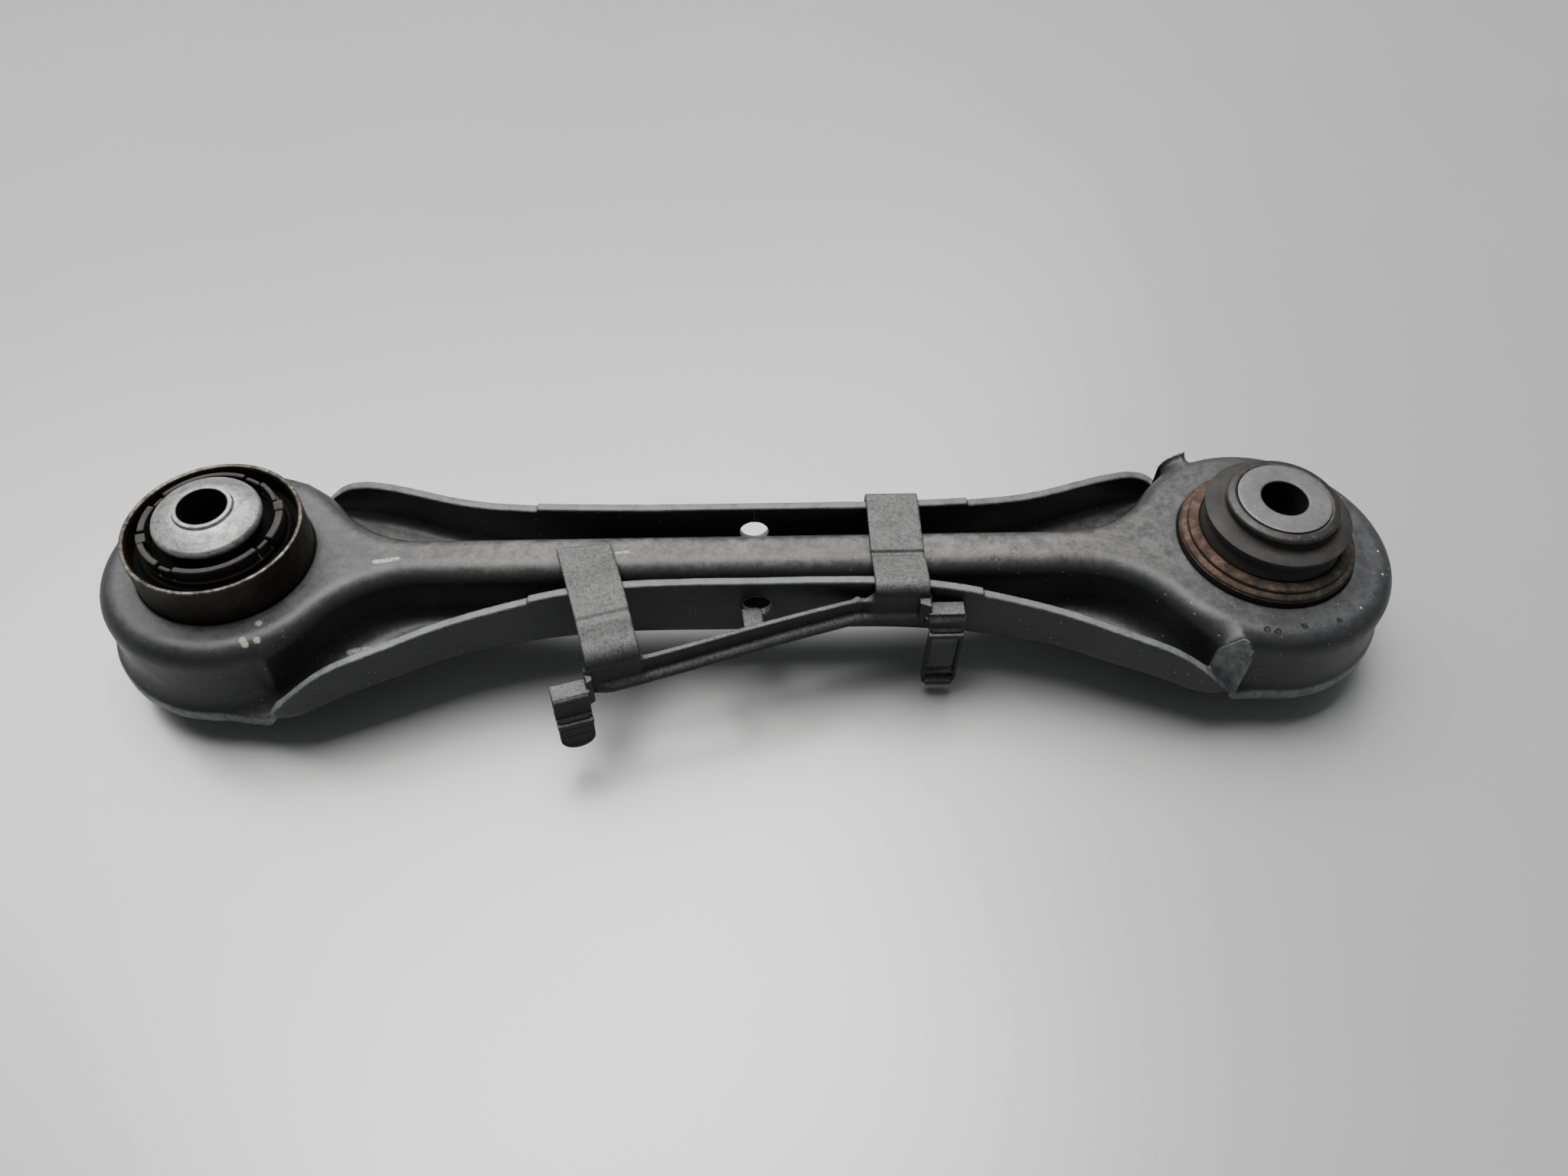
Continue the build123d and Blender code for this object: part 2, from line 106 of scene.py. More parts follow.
def corner_curve(a, b, c, radius, share):
    """Points of a short curve in place of corner b, using at most a share of each side."""
    la, lc = np.linalg.norm(a - b), np.linalg.norm(c - b)
    cut = min(radius, la * share, lc * share)
    if cut < SHARPEST:
        return [b]
    s, e = b + (a - b) / la * cut, b + (c - b) / lc * cut
    curve = []
    for i in range(CURVE_STEPS + 1):
        t = i / CURVE_STEPS
        curve.append((1 - t) ** 2 * s + 2 * t * (1 - t) * b + t * t * e)
    return curve


def eased(points, radius):
    """The same run of segments with each corner replaced by a short curve."""
    pts = [np.array(p, float) for p in points]
    out = [pts[0]]
    for a, b, c in zip(pts, pts[1:], pts[2:]):
        out += corner_curve(a, b, c, radius, 0.45)
    out.append(pts[-1])
    return [tuple(p) for p in out]


def smooth_curve(xs, ys, step=0.25):
    """Function through the points, smooth between them."""
    xs, ys = np.array(xs, float), np.array(ys, float)
    slope = np.gradient(ys, xs)
    fine = np.arange(xs[0], xs[-1] + step, step)
    i = np.clip(np.searchsorted(xs, fine, side="right") - 1, 0, len(xs) - 2)
    h = xs[i + 1] - xs[i]
    t = np.clip((fine - xs[i]) / h, 0, 1)
    value = (
        (2 * t**3 - 3 * t**2 + 1) * ys[i]
        + (t**3 - 2 * t**2 + t) * h * slope[i]
        + (3 * t**2 - 2 * t**3) * ys[i + 1]
        + (t**3 - t**2) * h * slope[i + 1]
    )
    return lambda x: np.interp(x, fine, value)


def ease(v, low, high):
    """Smooth step from 0 at low to 1 at high."""
    t = np.clip((v - low) / (high - low), 0, 1)
    return t * t * (3 - 2 * t)


def link(name, mesh, material, body=None, nodes=()):
    """Object for a finished mesh, riding on a body and standing for its CAD nodes."""
    obj = bpy.data.objects.new(name, mesh)
    bpy.context.scene.collection.objects.link(obj)
    mesh.materials.append(material)
    mesh.shade_smooth()
    if nodes:
        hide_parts(*nodes)
    if body:
        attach(obj, body)
    return obj


def pull_to_surface(points, field, voxel):
    """Points moved along the field's gradient until they lie on its zero surface."""
    probe = 0.2 * voxel
    furthest = 0.6 * voxel
    for _ in range(2):
        value = field(*points.T)
        gradient = np.stack(
            [
                (field(*(points + d).T) - field(*(points - d).T)) / (2 * probe)
                for d in np.eye(3) * probe
            ],
            axis=1,
        )
        size = np.maximum((gradient**2).sum(1), 0.05)
        move = -gradient * (value / size)[:, None]
        length = np.linalg.norm(move, axis=1)
        move *= np.minimum(1, furthest / np.maximum(length, 1e-9))[:, None]
        points = points + move
    return points


def polygonise(name, field, low, high, voxel, masks=()):
    """Mesh of field < 0 within a box; each mask becomes a point attribute under its label."""
    axes = [np.arange(a, b + voxel, voxel) for a, b in zip(low, high)]
    grid_coords = np.meshgrid(*axes, indexing="ij", sparse=True)
    band = 3.0 * voxel
    values = np.clip(field(*grid_coords), -band, band).astype(np.float32)
    grid = openvdb.FloatGrid(band)
    grid.copyFromArray(np.ascontiguousarray(values))
    points, quads = grid.convertToQuads(isovalue=0.0)
    points = points.astype(float) * voxel + np.array([a[0] for a in axes])
    points = pull_to_surface(points, field, voxel)
    mesh = bpy.data.meshes.new(name)
    rows = (points + np.array([MID_X, 0, 0])) * MM
    mesh.vertices.add(len(rows))
    mesh.vertices.foreach_set("co", rows.astype(np.float32).ravel())
    mesh.loops.add(quads.size)
    mesh.loops.foreach_set("vertex_index", quads.astype(np.int32).ravel())
    mesh.polygons.add(len(quads))
    mesh.polygons.foreach_set("loop_start", np.arange(0, quads.size, 4, dtype=np.int32))
    mesh.update(calc_edges=True)
    mesh.validate()
    for label, mask in masks:
        layer = mesh.attributes.new(label, "FLOAT", "POINT")
        layer.data.foreach_set("value", mask(*points.T).astype(np.float32))
    return mesh


# -------- materials
# a round mark is drawn along this line to both sides of its place, so that it meets the surface
MARK_LINE = Vector((0.1, -0.3, 0.95)).normalized() * 3.0


class Shader:
    """A material's node tree, with short calls for the nodes used here."""

    def __init__(self, name):
        self.material = bpy.data.materials.new(name)
        self.material.use_nodes = True
        self.tree = self.material.node_tree
        self.bsdf = self.tree.nodes["Principled BSDF"]
        self.coords = self.tree.nodes.new("ShaderNodeTexCoord").outputs["Object"]

    def node(self, kind, values=(), **settings):
        made = self.tree.nodes.new("ShaderNode" + kind)
        for key, value in settings.items():
            setattr(made, key, value)
        for socket, value in dict(values).items():
            self.put(made.inputs[socket], value)
        return made

    def put(self, socket, value):
        """Link a socket to another node's output, or give it a constant."""
        if isinstance(value, bpy.types.NodeSocket):
            self.tree.links.new(value, socket)
        else:
            socket.default_value = value

    def set(self, **values):
        """Give the surface's inputs, named with underscores for spaces."""
        for key, value in values.items():
            self.put(self.bsdf.inputs[key.replace("_", " ")], value)

    def math(self, operation, a, b=0.0, clamp=False):
        made = self.node("Math", operation=operation, use_clamp=clamp)
        self.put(made.inputs[0], a)
        self.put(made.inputs[1], b)
        return made.outputs[0]

    def times(self, product, *factors):
        for factor in factors:
            product = self.math("MULTIPLY", product, factor)
        return product

    def vector(self, operation, a, b=None):
        """Vector operation; b is the factor for SCALE, else the second vector."""
        made = self.node("VectorMath", {0: a}, operation=operation)
        if b is not None:
            self.put(made.inputs["Scale" if operation == "SCALE" else 1], b)
        return made.outputs[0 if operation in ("SUBTRACT", "SCALE") else "Value"]

    def split(self, vector=None):
        """X, Y and Z of a vector, which is the place on the piece when none is given."""
        return self.node("SeparateXYZ", {"Vector": vector or self.coords}).outputs

    def noise(self, scale, detail=4.0, rough=0.55, coords=None):
        made = self.node(
            "TexNoise",
            {
                "Scale": scale,
                "Detail": detail,
                "Roughness": rough,
                "Vector": coords or self.coords,
            },
        )
        return made.outputs["Fac"]

    def ramp(self, value, stops):
        """Value remapped through grey stops, or colour stops when given as triples."""
        made = self.node("ValToRGB", {"Fac": value})
        ramp = made.color_ramp
        while len(ramp.elements) < len(stops):
            ramp.elements.new(0.5)
        for element, (at, colour) in zip(ramp.elements, stops):
            element.position = at
            if isinstance(colour, (int, float)):
                colour = (colour,) * 3
            element.color = (*colour, 1.0)
        return made.outputs["Color"]

    def patches(self, noise, *stops):
        """Noise of a scale, detail and roughness, remapped through stops."""
        return self.ramp(self.noise(*noise), stops)

    def spots(self, scale, low, high):
        """White dots at the middles of cells: full within low, gone at high, in cell sizes."""
        cell = self.node("TexVoronoi", {"Scale": scale, "Vector": self.coords})
        return self.ramp(cell.outputs["Distance"], [(low, 1.0), (high, 0.0)])

    def mix(self, factor, a, b):
        made = self.node("Mix", data_type="RGBA")
        self.put(made.inputs["Factor"], factor)
        for socket, value in ((made.inputs[6], a), (made.inputs[7], b)):
            self.put(socket, (*value, 1.0) if isinstance(value, tuple) else value)
        return made.outputs[2]

    def speckle(self, base, tone, dots, noise, *stops):
        """Base with dots of a tone, in the patches that the noise's stops leave."""
        return self.mix(self.times(self.spots(*dots), self.patches(noise, *stops)), base, tone)

    def facing_up(self):
        """How much the surface faces up in its own axes, 0 to 1."""
        normal = self.node("TexCoord").outputs["Normal"]
        return self.math("MAXIMUM", self.split(normal)["Z"], 0.0)

    def mark(self, start, end, width):
        """1 on an uneven streak of about a width between two places in millimetres, else 0."""
        a, b = Vector(start) * MM, Vector(end) * MM
        along = (b - a).normalized()
        offset = self.vector("SUBTRACT", self.coords, a)
        reach = self.math("MAXIMUM", self.vector("DOT_PRODUCT", offset, along), 0.0)
        reach = self.math("MINIMUM", reach, (b - a).length)
        d = self.vector("DISTANCE", offset, self.vector("SCALE", along, reach))
        uneven = self.times(self.noise(900, 5, 0.85), 1.4 * width * MM)
        d = self.math("DIVIDE", self.math("ADD", d, uneven), 2.0 * width * MM)
        return self.ramp(d, [(0.6, 1.0), (0.8, 0.0)])

    def dent(self, place, width):
        """A round mark where the marks' line through a place meets the surface."""
        return self.mark(Vector(place) - MARK_LINE, Vector(place) + MARK_LINE, width)

    def attribute(self, name):
        return self.node("Attribute", attribute_name=name).outputs["Fac"]

    def radial(self, centre_x):
        """Distance from a vertical axis, in metres."""
        place = self.split()
        x = self.math("SUBTRACT", place["X"], centre_x * MM)
        flat = self.node("CombineXYZ", {"X": x, "Y": place["Y"]})
        return self.vector("LENGTH", flat.outputs[0])

    def rings(self, centre_x, scale):
        """Fine concentric marks round a vertical axis."""
        line = self.node("CombineXYZ", {"X": self.radial(centre_x)})
        return self.noise(scale, 6.0, 0.7, line.outputs[0])

    def bore_shade(self, centre_x):
        """1 on the wall of the bolt hole on a vertical axis, 0 outside it; there the shade in the
        hole is painted dark.
        """
        r = self.math("DIVIDE", self.radial(centre_x), 10 * MM)
        return self.ramp(r, [(0.61, 1.0), (0.66, 0.0)])

    def bump(self, height, strength, distance, below=None):
        made = self.node("Bump", {"Height": height, "Strength": strength, "Distance": distance})
        if below is not None:
            self.put(made.inputs["Normal"], below)
        return made.outputs["Normal"]


# places in millimetres in the part's frame; a streak is its two ends and its width
CHALKY = [(13.2, -22.3, 34.5), (10.2, -27.3, 34.2), (13.6, -27.0, 33.7), (10.8, -28.3, 33.7)]
PITS = [(270.6, -30.3, 34.4), (273.2, -31.0, 34.3), (280.5, -29.6, 34.5), (290.4, -27.9, 34.5)]
SPOTS = [(307.3, -12.5, 34.3), (308.8, -4.5, 34.5), (297.4, -23.9, 34.5)]
SCUFFS_AND_HIGHLIGHT = [
    ((38.9, -2.5, 34.5), (44.6, -1.6, 34.5), 0.9),
    ((102.2, -0.7, 34.5), (105.0, -0.5, 34.5), 0.6),
    # painted highlight: a bright glossy streak on the valley floor
    ((30.8, -19.0, 16.9), (50.0, -11.8, 16.9), 1.0),
]
SCRATCH = ((265.6, -28.4, 12.8), (271.6, -31.3, 12.8), 0.7)
# distance from the arm's middle over which the painted light and the dust on the ridge fade out
LIGHT_AND_DUST_REACH = 150


def coated_steel():
    m = Shader("coated_steel")
    base = m.patches((28, 5, 0.6), (0.3, (0.013, 0.013, 0.0136)), (0.7, (0.027, 0.0272, 0.0285)))
    # road dust on what faces up, which also paints light onto the tops: what faces up is made
    # lighter, most of all along the middle of the ridge, where a lit look is painted
    x = m.math("ABSOLUTE", m.math("SUBTRACT", m.split()["X"], MID_X * MM))
    middle = m.ramp(m.math("DIVIDE", x, LIGHT_AND_DUST_REACH * MM), [(0.5, 1.0), (0.93, 0.0)])
    up = m.math("POWER", m.facing_up(), 5.0)
    cover = m.patches((45, 8, 0.7), (0.3, 0.3), (0.7, 1.0))
    grain = m.patches((330, 9, 0.85), (0.4, 0.15), (0.6, 1.0))
    dust_and_top_light = m.times(up, cover, grain, m.ramp(middle, [(0.0, 0.42), (1.0, 0.95)]))
    # painted light: the colour on the tops is lighter towards the middle of the arm
    base = m.mix(dust_and_top_light, base, m.mix(middle, (0.185, 0.185, 0.19), (0.30, 0.288, 0.268)))
    for tone, dots, noise, *stops in (
        ((0.36, 0.35, 0.32), (850, 0.07, 0.15), (70, 4, 0.6), (0.54, 0.0), (0.68, 1.0)),
        ((0.32, 0.31, 0.29), (400, 0.05, 0.11), (38, 4), (0.47, 0.0), (0.6, 0.9)),
        ((0.006, 0.006, 0.007), (230, 0.04, 0.12), (31, 4), (0.5, 0.0), (0.6, 1.0)),
    ):
        base = m.speckle(base, tone, dots, noise, *stops)
    worn = m.times(m.attribute("cut"), m.patches((190, 6, 0.75), (0.35, 0.15), (0.62, 1.0)))
    base = m.mix(worn, base, (0.19, 0.193, 0.197))
    relief = m.bump(m.noise(260, 4, 0.6), 0.2, 0.0004)
    relief = m.bump(m.noise(620, 7, 0.75), 0.22, 0.0003, relief)
    for place in CHALKY:
        base = m.mix(m.dent(place, 1.15), base, (0.40, 0.38, 0.27))
    for place in PITS:
        pit = m.dent(place, 1.0)
        base = m.mix(pit, base, (0.004, 0.004, 0.005))
        relief = m.bump(m.times(pit, -1.0), 0.6, 0.0008, relief)
    for place in SPOTS:
        base = m.mix(m.dent(place, 0.45), base, (0.50, 0.49, 0.45))
    broken = m.patches((620, 9, 0.9), (0.42, 0.1), (0.56, 0.9))
    # bright scuffs on the ridge, and a painted highlight on the valley floor
    for streak in SCUFFS_AND_HIGHLIGHT:
        base = m.mix(m.times(m.mark(*streak), broken), base, (0.6, 0.6, 0.59))
    scratch = m.mark(*SCRATCH)
    rough = m.patches((75, 7, 0.7), (0.3, 0.34), (0.75, 0.52))
    m.set(
        Base_Color=m.mix(scratch, base, (0.012, 0.012, 0.012)),
        Roughness=m.mix(dust_and_top_light, rough, (0.7,) * 3),
        Normal=m.bump(scratch, 0.8, 0.0008, relief),
        Specular_IOR_Level=m.ramp(m.facing_up(), [(0.1, 0.38), (0.85, 0.6)]),
    )
    return m.material


# the sleeve's rim is worn bright above this level
RIM_Z = 46.1


def sleeve_steel():
    m = Shader("sleeve_steel")
    mottled = m.noise(140, 8, 0.7)
    dark = m.ramp(mottled, [(0.35, (0.008, 0.006, 0.005)), (0.7, (0.036, 0.027, 0.02))])
    over_rim = m.math("SUBTRACT", m.split()["Z"], RIM_Z * MM)
    near_rim = m.math("MULTIPLY", over_rim, 1.8 / MM, clamp=True)
    worn = m.times(near_rim, m.patches((420, 8, 0.8), (0.44, 0.1), (0.6, 0.9)))
    m.set(
        Base_Color=m.mix(worn, dark, (0.24, 0.215, 0.17)),
        Metallic=0.6,
        Roughness=m.mix(worn, m.ramp(mottled, [(0.3, 0.62), (0.7, 0.4)]), (0.36,) * 3),
        Normal=m.bump(m.noise(700, 6, 0.7), 0.3, 0.0002),
    )
    return m.material


def zinc_plate():
    m = Shader("zinc_plate")
    marks = m.rings(0.0, 2600)
    dull = m.noise(160, 8, 0.7)
    base = m.ramp(dull, [(0.3, (0.30, 0.302, 0.305)), (0.7, (0.56, 0.562, 0.565))])
    base = m.mix(m.ramp(marks, [(0.42, 0.0), (0.62, 0.25)]), base, (0.70, 0.70, 0.70))
    crust = m.patches((360, 10, 0.9), (0.44, 0.0), (0.58, 0.85))
    base = m.mix(crust, base, (0.20, 0.19, 0.18))
    base = m.speckle(base, (0.13, 0.12, 0.11), (420, 0.1, 0.3), (120,), (0.5, 0.0), (0.7, 0.7))
    m.set(
        # painted shade: the bore's wall is painted dark
        Base_Color=m.mix(m.bore_shade(0.0), base, (0.06, 0.058, 0.055)),
        Metallic=0.8,
        Roughness=m.ramp(dull, [(0.3, 0.52), (0.7, 0.34)]),
        Normal=m.bump(marks, 0.15, 0.0002, m.bump(m.noise(700, 7, 0.8), 0.5, 0.0003)),
    )
    return m.material


def machined_steel():
    m = Shader("machined_steel")
    marks = m.rings(JOINT_X, 3800)
    dull = m.noise(210, 8, 0.75)
    base = m.ramp(dull, [(0.3, (0.135, 0.136, 0.138)), (0.7, (0.26, 0.26, 0.26))])
    blot = (0.05, 0.048, 0.045)
    base = m.speckle(base, blot, (380, 0.08, 0.26), (95,), (0.5, 0.0), (0.66, 0.8))
    scale = m.times(
        m.patches((75, 6, 0.7), (0.52, 0.0), (0.64, 1.0)),
        m.patches((900, 6, 0.8), (0.42, 0.0), (0.62, 0.85)),
    )
    base = m.mix(scale, base, (0.34, 0.29, 0.24))
    nick = (0.75, 0.74, 0.72)
    base = m.speckle(base, nick, (620, 0.05, 0.12), (60, 4), (0.52, 0.0), (0.62, 1.0))
    m.set(
        # painted shade: the bore's wall is painted dark
        Base_Color=m.mix(m.bore_shade(JOINT_X), base, (0.05, 0.05, 0.05)),
        Metallic=0.8,
        Roughness=m.ramp(dull, [(0.3, 0.54), (0.7, 0.4)]),
        Normal=m.bump(marks, 0.2, 0.0002, m.bump(m.noise(1200, 5, 0.7), 0.25, 0.0001)),
    )
    return m.material


SCALE = [(0.3, (0.016, 0.013, 0.01)), (0.5, (0.05, 0.041, 0.031)), (0.72, (0.15, 0.13, 0.105))]
RUST = [(0.3, (0.02, 0.011, 0.007)), (0.5, (0.075, 0.04, 0.025)), (0.72, (0.19, 0.128, 0.09))]
JOINT_WIDTH = 50


def browned_steel():
    m = Shader("browned_steel")
    patch = m.noise(240, 9, 0.78)
    # orange rust on the side of the joint that faces the arm, greyer scale on the other
    left = m.math("DIVIDE", m.math("SUBTRACT", JOINT_X * MM, m.split()["X"]), JOINT_WIDTH * MM)
    left = m.math("ADD", left, m.noise(60, 6, 0.7))
    where = m.ramp(left, [(0.42, 0.0), (0.72, 0.95)])
    skin = m.mix(where, m.ramp(patch, SCALE), m.ramp(patch, RUST))
    # painted shade: what does not face up is painted dark
    level = m.ramp(m.facing_up(), [(0.1, 1.0), (0.6, 0.0)])
    m.set(
        Base_Color=m.mix(level, skin, (0.02, 0.016, 0.013)),
        Metallic=0.35,
        Roughness=m.ramp(patch, [(0.3, 0.78), (0.7, 0.5)]),
        Normal=m.bump(m.noise(900, 8, 0.8), 0.5, 0.0004),
    )
    return m.material


def oiled_steel():
    m = Shader("oiled_steel")
    base = m.patches((110, 7, 0.7), (0.3, (0.028, 0.028, 0.029)), (0.7, (0.062, 0.061, 0.058)))
    speck = m.patches((650, 6, 0.8), (0.55, 0.0), (0.66, 0.85))
    m.set(
        Base_Color=m.mix(speck, base, (0.17, 0.14, 0.09)),
        Metallic=0.5,
        Roughness=m.patches((300, 6, 0.7), (0.3, 0.35), (0.7, 0.55)),
        Normal=m.bump(m.noise(900, 6, 0.75), 0.3, 0.0002),
    )
    return m.material


def rubber(name, dark, light, rough, shine):
    """Dark rubber with a brownish film of dust and grit on what faces up."""
    m = Shader(name)
    up = m.math("POWER", m.facing_up(), 1.5)
    film = m.times(up, m.patches((260, 9, 0.8), (0.36, 0.15), (0.66, 1.0)))
    base = m.mix(film, (dark,) * 3, (light, light * 0.93, light * 0.84))
    grit = (light * 2.0, light * 1.8, light * 1.55)
    m.set(
        Base_Color=m.speckle(base, grit, (1700, 0.1, 0.24), (170, 5), (0.42, 0.0), (0.62, 0.7)),
        Roughness=m.patches((130, 5), (0.3, rough - 0.1), (0.7, rough + 0.12)),
        Normal=m.bump(m.noise(1300, 6, 0.8), 0.4, 0.0003),
        Specular_IOR_Level=shine,
    )
    return m.material


def plastic(name, dark, light, rough, dust_and_top_light, dusty=(0.27, 0.268, 0.262)):
    """Moulded plastic with dust on what faces up in a lighter tone, which also paints light onto
    the tops.
    """
    m = Shader(name)
    base = m.patches((70, 6, 0.65), (0.3, dark), (0.7, light))
    up = m.math("POWER", m.facing_up(), 1.8)
    cover = m.patches((150, 8, 0.75), (0.3, 0.55), (0.7, 1.0))
    grain = m.patches((1100, 8, 0.85), (0.4, 0.3), (0.6, 1.0))
    # painted light: what faces up is made lighter, partly for dust, partly to paint the lit tops
    base = m.mix(m.times(up, cover, m.times(grain, dust_and_top_light)), base, dusty)
    grit = (0.36, 0.35, 0.33)
    m.set(
        Base_Color=m.speckle(base, grit, (1300, 0.06, 0.15), (130,), (0.5, 0.0), (0.64, dust_and_top_light)),
        Roughness=m.patches((180, 5), (0.3, rough - 0.08), (0.7, rough + 0.12)),
        Normal=m.bump(m.noise(1400, 4, 0.7), 0.25, 0.00015),
        Specular_IOR_Level=m.ramp(m.facing_up(), [(0.1, 0.26), (0.85, 0.35)]),
    )
    return m.material


LOOKS = {
    "coated_steel": coated_steel(),
    "sleeve_steel": sleeve_steel(),
    "zinc_plate": zinc_plate(),
    "bush_rubber": rubber("bush_rubber", 0.005, 0.007, 0.75, 0.1),
    "ring_plastic": plastic(
        "ring_plastic",
        dark=(0.012, 0.011, 0.01),
        light=(0.026, 0.023, 0.02),
        rough=0.65,
        dust_and_top_light=0.8,
        dusty=(0.085, 0.076, 0.067),
    ),
    "machined_steel": machined_steel(),
    "bearing_plastic": plastic(
        "bearing_plastic", dark=(0.6, 0.58, 0.53), light=(0.75, 0.73, 0.68), rough=0.4, dust_and_top_light=0.0
    ),
    "browned_steel": browned_steel(),
    "oiled_steel": oiled_steel(),
    "boot_rubber": rubber("boot_rubber", 0.012, 0.05, 0.6, 0.4),
    "holder_nylon": plastic(
        "holder_nylon",
        dark=(0.007, 0.0072, 0.008),
        light=(0.013, 0.0133, 0.0145),
        rough=0.5,
        dust_and_top_light=0.9,
    ),
}
for node, look in (
    ("joint_housing", "browned_steel"),
    ("joint_closing_ring", "browned_steel"),
    ("bearing_cup_upper", "bearing_plastic"),
    ("bearing_cup_lower", "bearing_plastic"),
):
    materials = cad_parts[node].data.materials
    materials.clear()
    materials.append(LOOKS[look])

# -------- the pressing
SHEET = 2.5
CROWN_Z = 34.5
RIDGE_HALF = 7.5
NECK_R = 30.0
SHOULDER_R = 5.6
BEND_R = 3.0
FLOOR_Z = 14.2
CORNER_X = 128.5
PAST_END = 190
HOLE_R, HOLE_Z, HOLE_FROM = 3.9, 27.6, 9.5
# radius, rim's radius and lower face, bore, and foot of the collar round the bore
EYES = {
    -1: {"r": 33.0, "lip_r": 35.2, "lip_z": 9.0, "bore": 22.5, "collar_z": 11.5},
    1: {"r": 35.5, "lip_r": 37.0, "lip_z": 10.3, "bore": 23.5, "collar_z": 15.0},
}
NOTCH_X = 59.5
# outer face and top of each side wall along the arm
EDGE_X = [0, 20, 32, 45, 55, 65, 75, 85, 94, 104, 111, 117, 121.5, CORNER_X]
EDGE_Y = [14.5, 14.5, 14.7, 15.6, 16.8, 18.6, 20.9, 24.1, 27.8, 31.6, 34.2, 36.4, 37.2, 36.6]
EDGE_Z = [37.1, 37.1, 36.9, 36.3, 35.4, 33.4, 32.2, 31.2, 30.2, 29.0, 27.2, 23.8, 19.8, 12.0]
FLARE_FROM, FLARE_TO, FLARE = 124.0, 131.0, 9.0
WIDEN_FROM, WIDEN_TO, WIDEN = 82, 112, 4.5
CLEAR_FROM, CLEAR_TO, CLEARANCE = 119, 127, 1.5
TRIM_R, BORE_R, HOLE_EDGE_R = 0.4, 0.7, 0.35
COLLAR_R, COLLAR_FILLET = 0.5, 1.5
CUT_DEPTH = 0.3

slopes = np.gradient(np.array(EDGE_Y, float), np.array(EDGE_X, float))
wall_outer = smooth_curve(EDGE_X + [PAST_END], EDGE_Y + [EDGE_Y[-1]])
wall_slope = smooth_curve(EDGE_X + [PAST_END], list(slopes) + [0.0])
wall_top_inner = smooth_curve(EDGE_X[:5] + [NOTCH_X], EDGE_Z[:5] + [34.9])
wall_top_outer = smooth_curve([NOTCH_X] + EDGE_X[5:], [34.1] + EDGE_Z[5:])
# lower face of the sheet beside the ridge: the valleys' floors, which drop to the eyes' rims
UNDER = {
    side: smooth_curve(
        [0, 92, 106, 119, CORNER_X, PAST_END],
        [FLOOR_Z, FLOOR_Z, FLOOR_Z - drop, eye["lip_z"] + rise, eye["lip_z"], eye["lip_z"]],
    )
    for (side, eye), drop, rise in zip(EYES.items(), (1.1, 0.9), (1.2, 1.0))
}


def per_side(x, values):
    """Choose the left or right value at each x."""
    return np.where(x < 0, values[-1], values[1])


def plan_form(x, ay):
    """Plan distance to both eyes and the ridge between them, with filleted necks."""
    eye_x = np.where(x < 0, -HALF_SPAN, HALF_SPAN)
    eye_r = per_side(x, {s: e["r"] for s, e in EYES.items()})
    circle = np.hypot(x - eye_x, ay) - eye_r
    inward = HALF_SPAN - np.abs(x)
    plain = np.minimum(circle, np.maximum(ay - RIDGE_HALF, -inward))
    cy = RIDGE_HALF + NECK_R
    reach = np.sqrt((eye_r + NECK_R) ** 2 - cy**2)
    # the fillet's sector, seen from its centre, lies between the eye's centre and straight down
    u, v = reach - inward, cy - ay
    in_sector = (u >= 0) & (v >= 0) & (u * cy <= v * reach)
    fillet = NECK_R - np.hypot(u, v)
    return np.where(in_sector, fillet, plain)


def channel(x, ay):
    """Distance outwards from the side walls' inner faces."""
    ax = np.abs(x)
    slope = wall_slope(ax)
    inner = wall_outer(ax) - SHEET * np.hypot(1, slope) + FLARE * ease(ax, FLARE_FROM, FLARE_TO)
    return (ay - inner) / np.hypot(1, slope)


def floor_top(x):
    """Height of the valley floors' upper face."""
    ax = np.abs(x)
    return np.where(x < 0, UNDER[-1](ax), UNDER[1](ax)) + SHEET


def wall_top(x):
    """Height of the side walls' free edge, which steps down at the notch."""
    ax = np.abs(x)
    return np.where(ax < NOTCH_X, wall_top_inner(ax), wall_top_outer(ax))


def trim_distance(x, ay, z):
    """Distance outside the trimmed blank: walls' free edge and rim round the eyes."""
    ax = np.abs(x)
    over_wall = np.minimum(z - wall_top(x), channel(x, ay) + 0.8)
    lip_r = per_side(x, {s: e["lip_r"] for s, e in EYES.items()})
    taper = (ax - CORNER_X) / (HALF_SPAN - CORNER_X)
    clear = CLEARANCE * (1 - ease(ax, CLEAR_FROM, CLEAR_TO))
    rim_from = EDGE_Y[-1]
    side = np.where(
        ax < CORNER_X, wall_outer(ax) + clear, rim_from + (lip_r - rim_from) * taper
    )
    rim = np.where(ax > HALF_SPAN, np.hypot(ax - HALF_SPAN, ay) - lip_r, ay - side)
    return np.maximum(over_wall, rim)


def bore_distance(x, ay):
    """Distance inside the eyes' bores."""
    eye_x = np.where(x < 0, -HALF_SPAN, HALF_SPAN)
    bore = per_side(x, {s: e["bore"] for s, e in EYES.items()})
    return bore - np.hypot(x - eye_x, ay)


def hole_distance(x, ay, z):
    """Distance inside the round hole through both side walls at the arm's middle."""
    return np.minimum(HOLE_R - np.hypot(x, z - HOLE_Z), ay - HOLE_FROM)


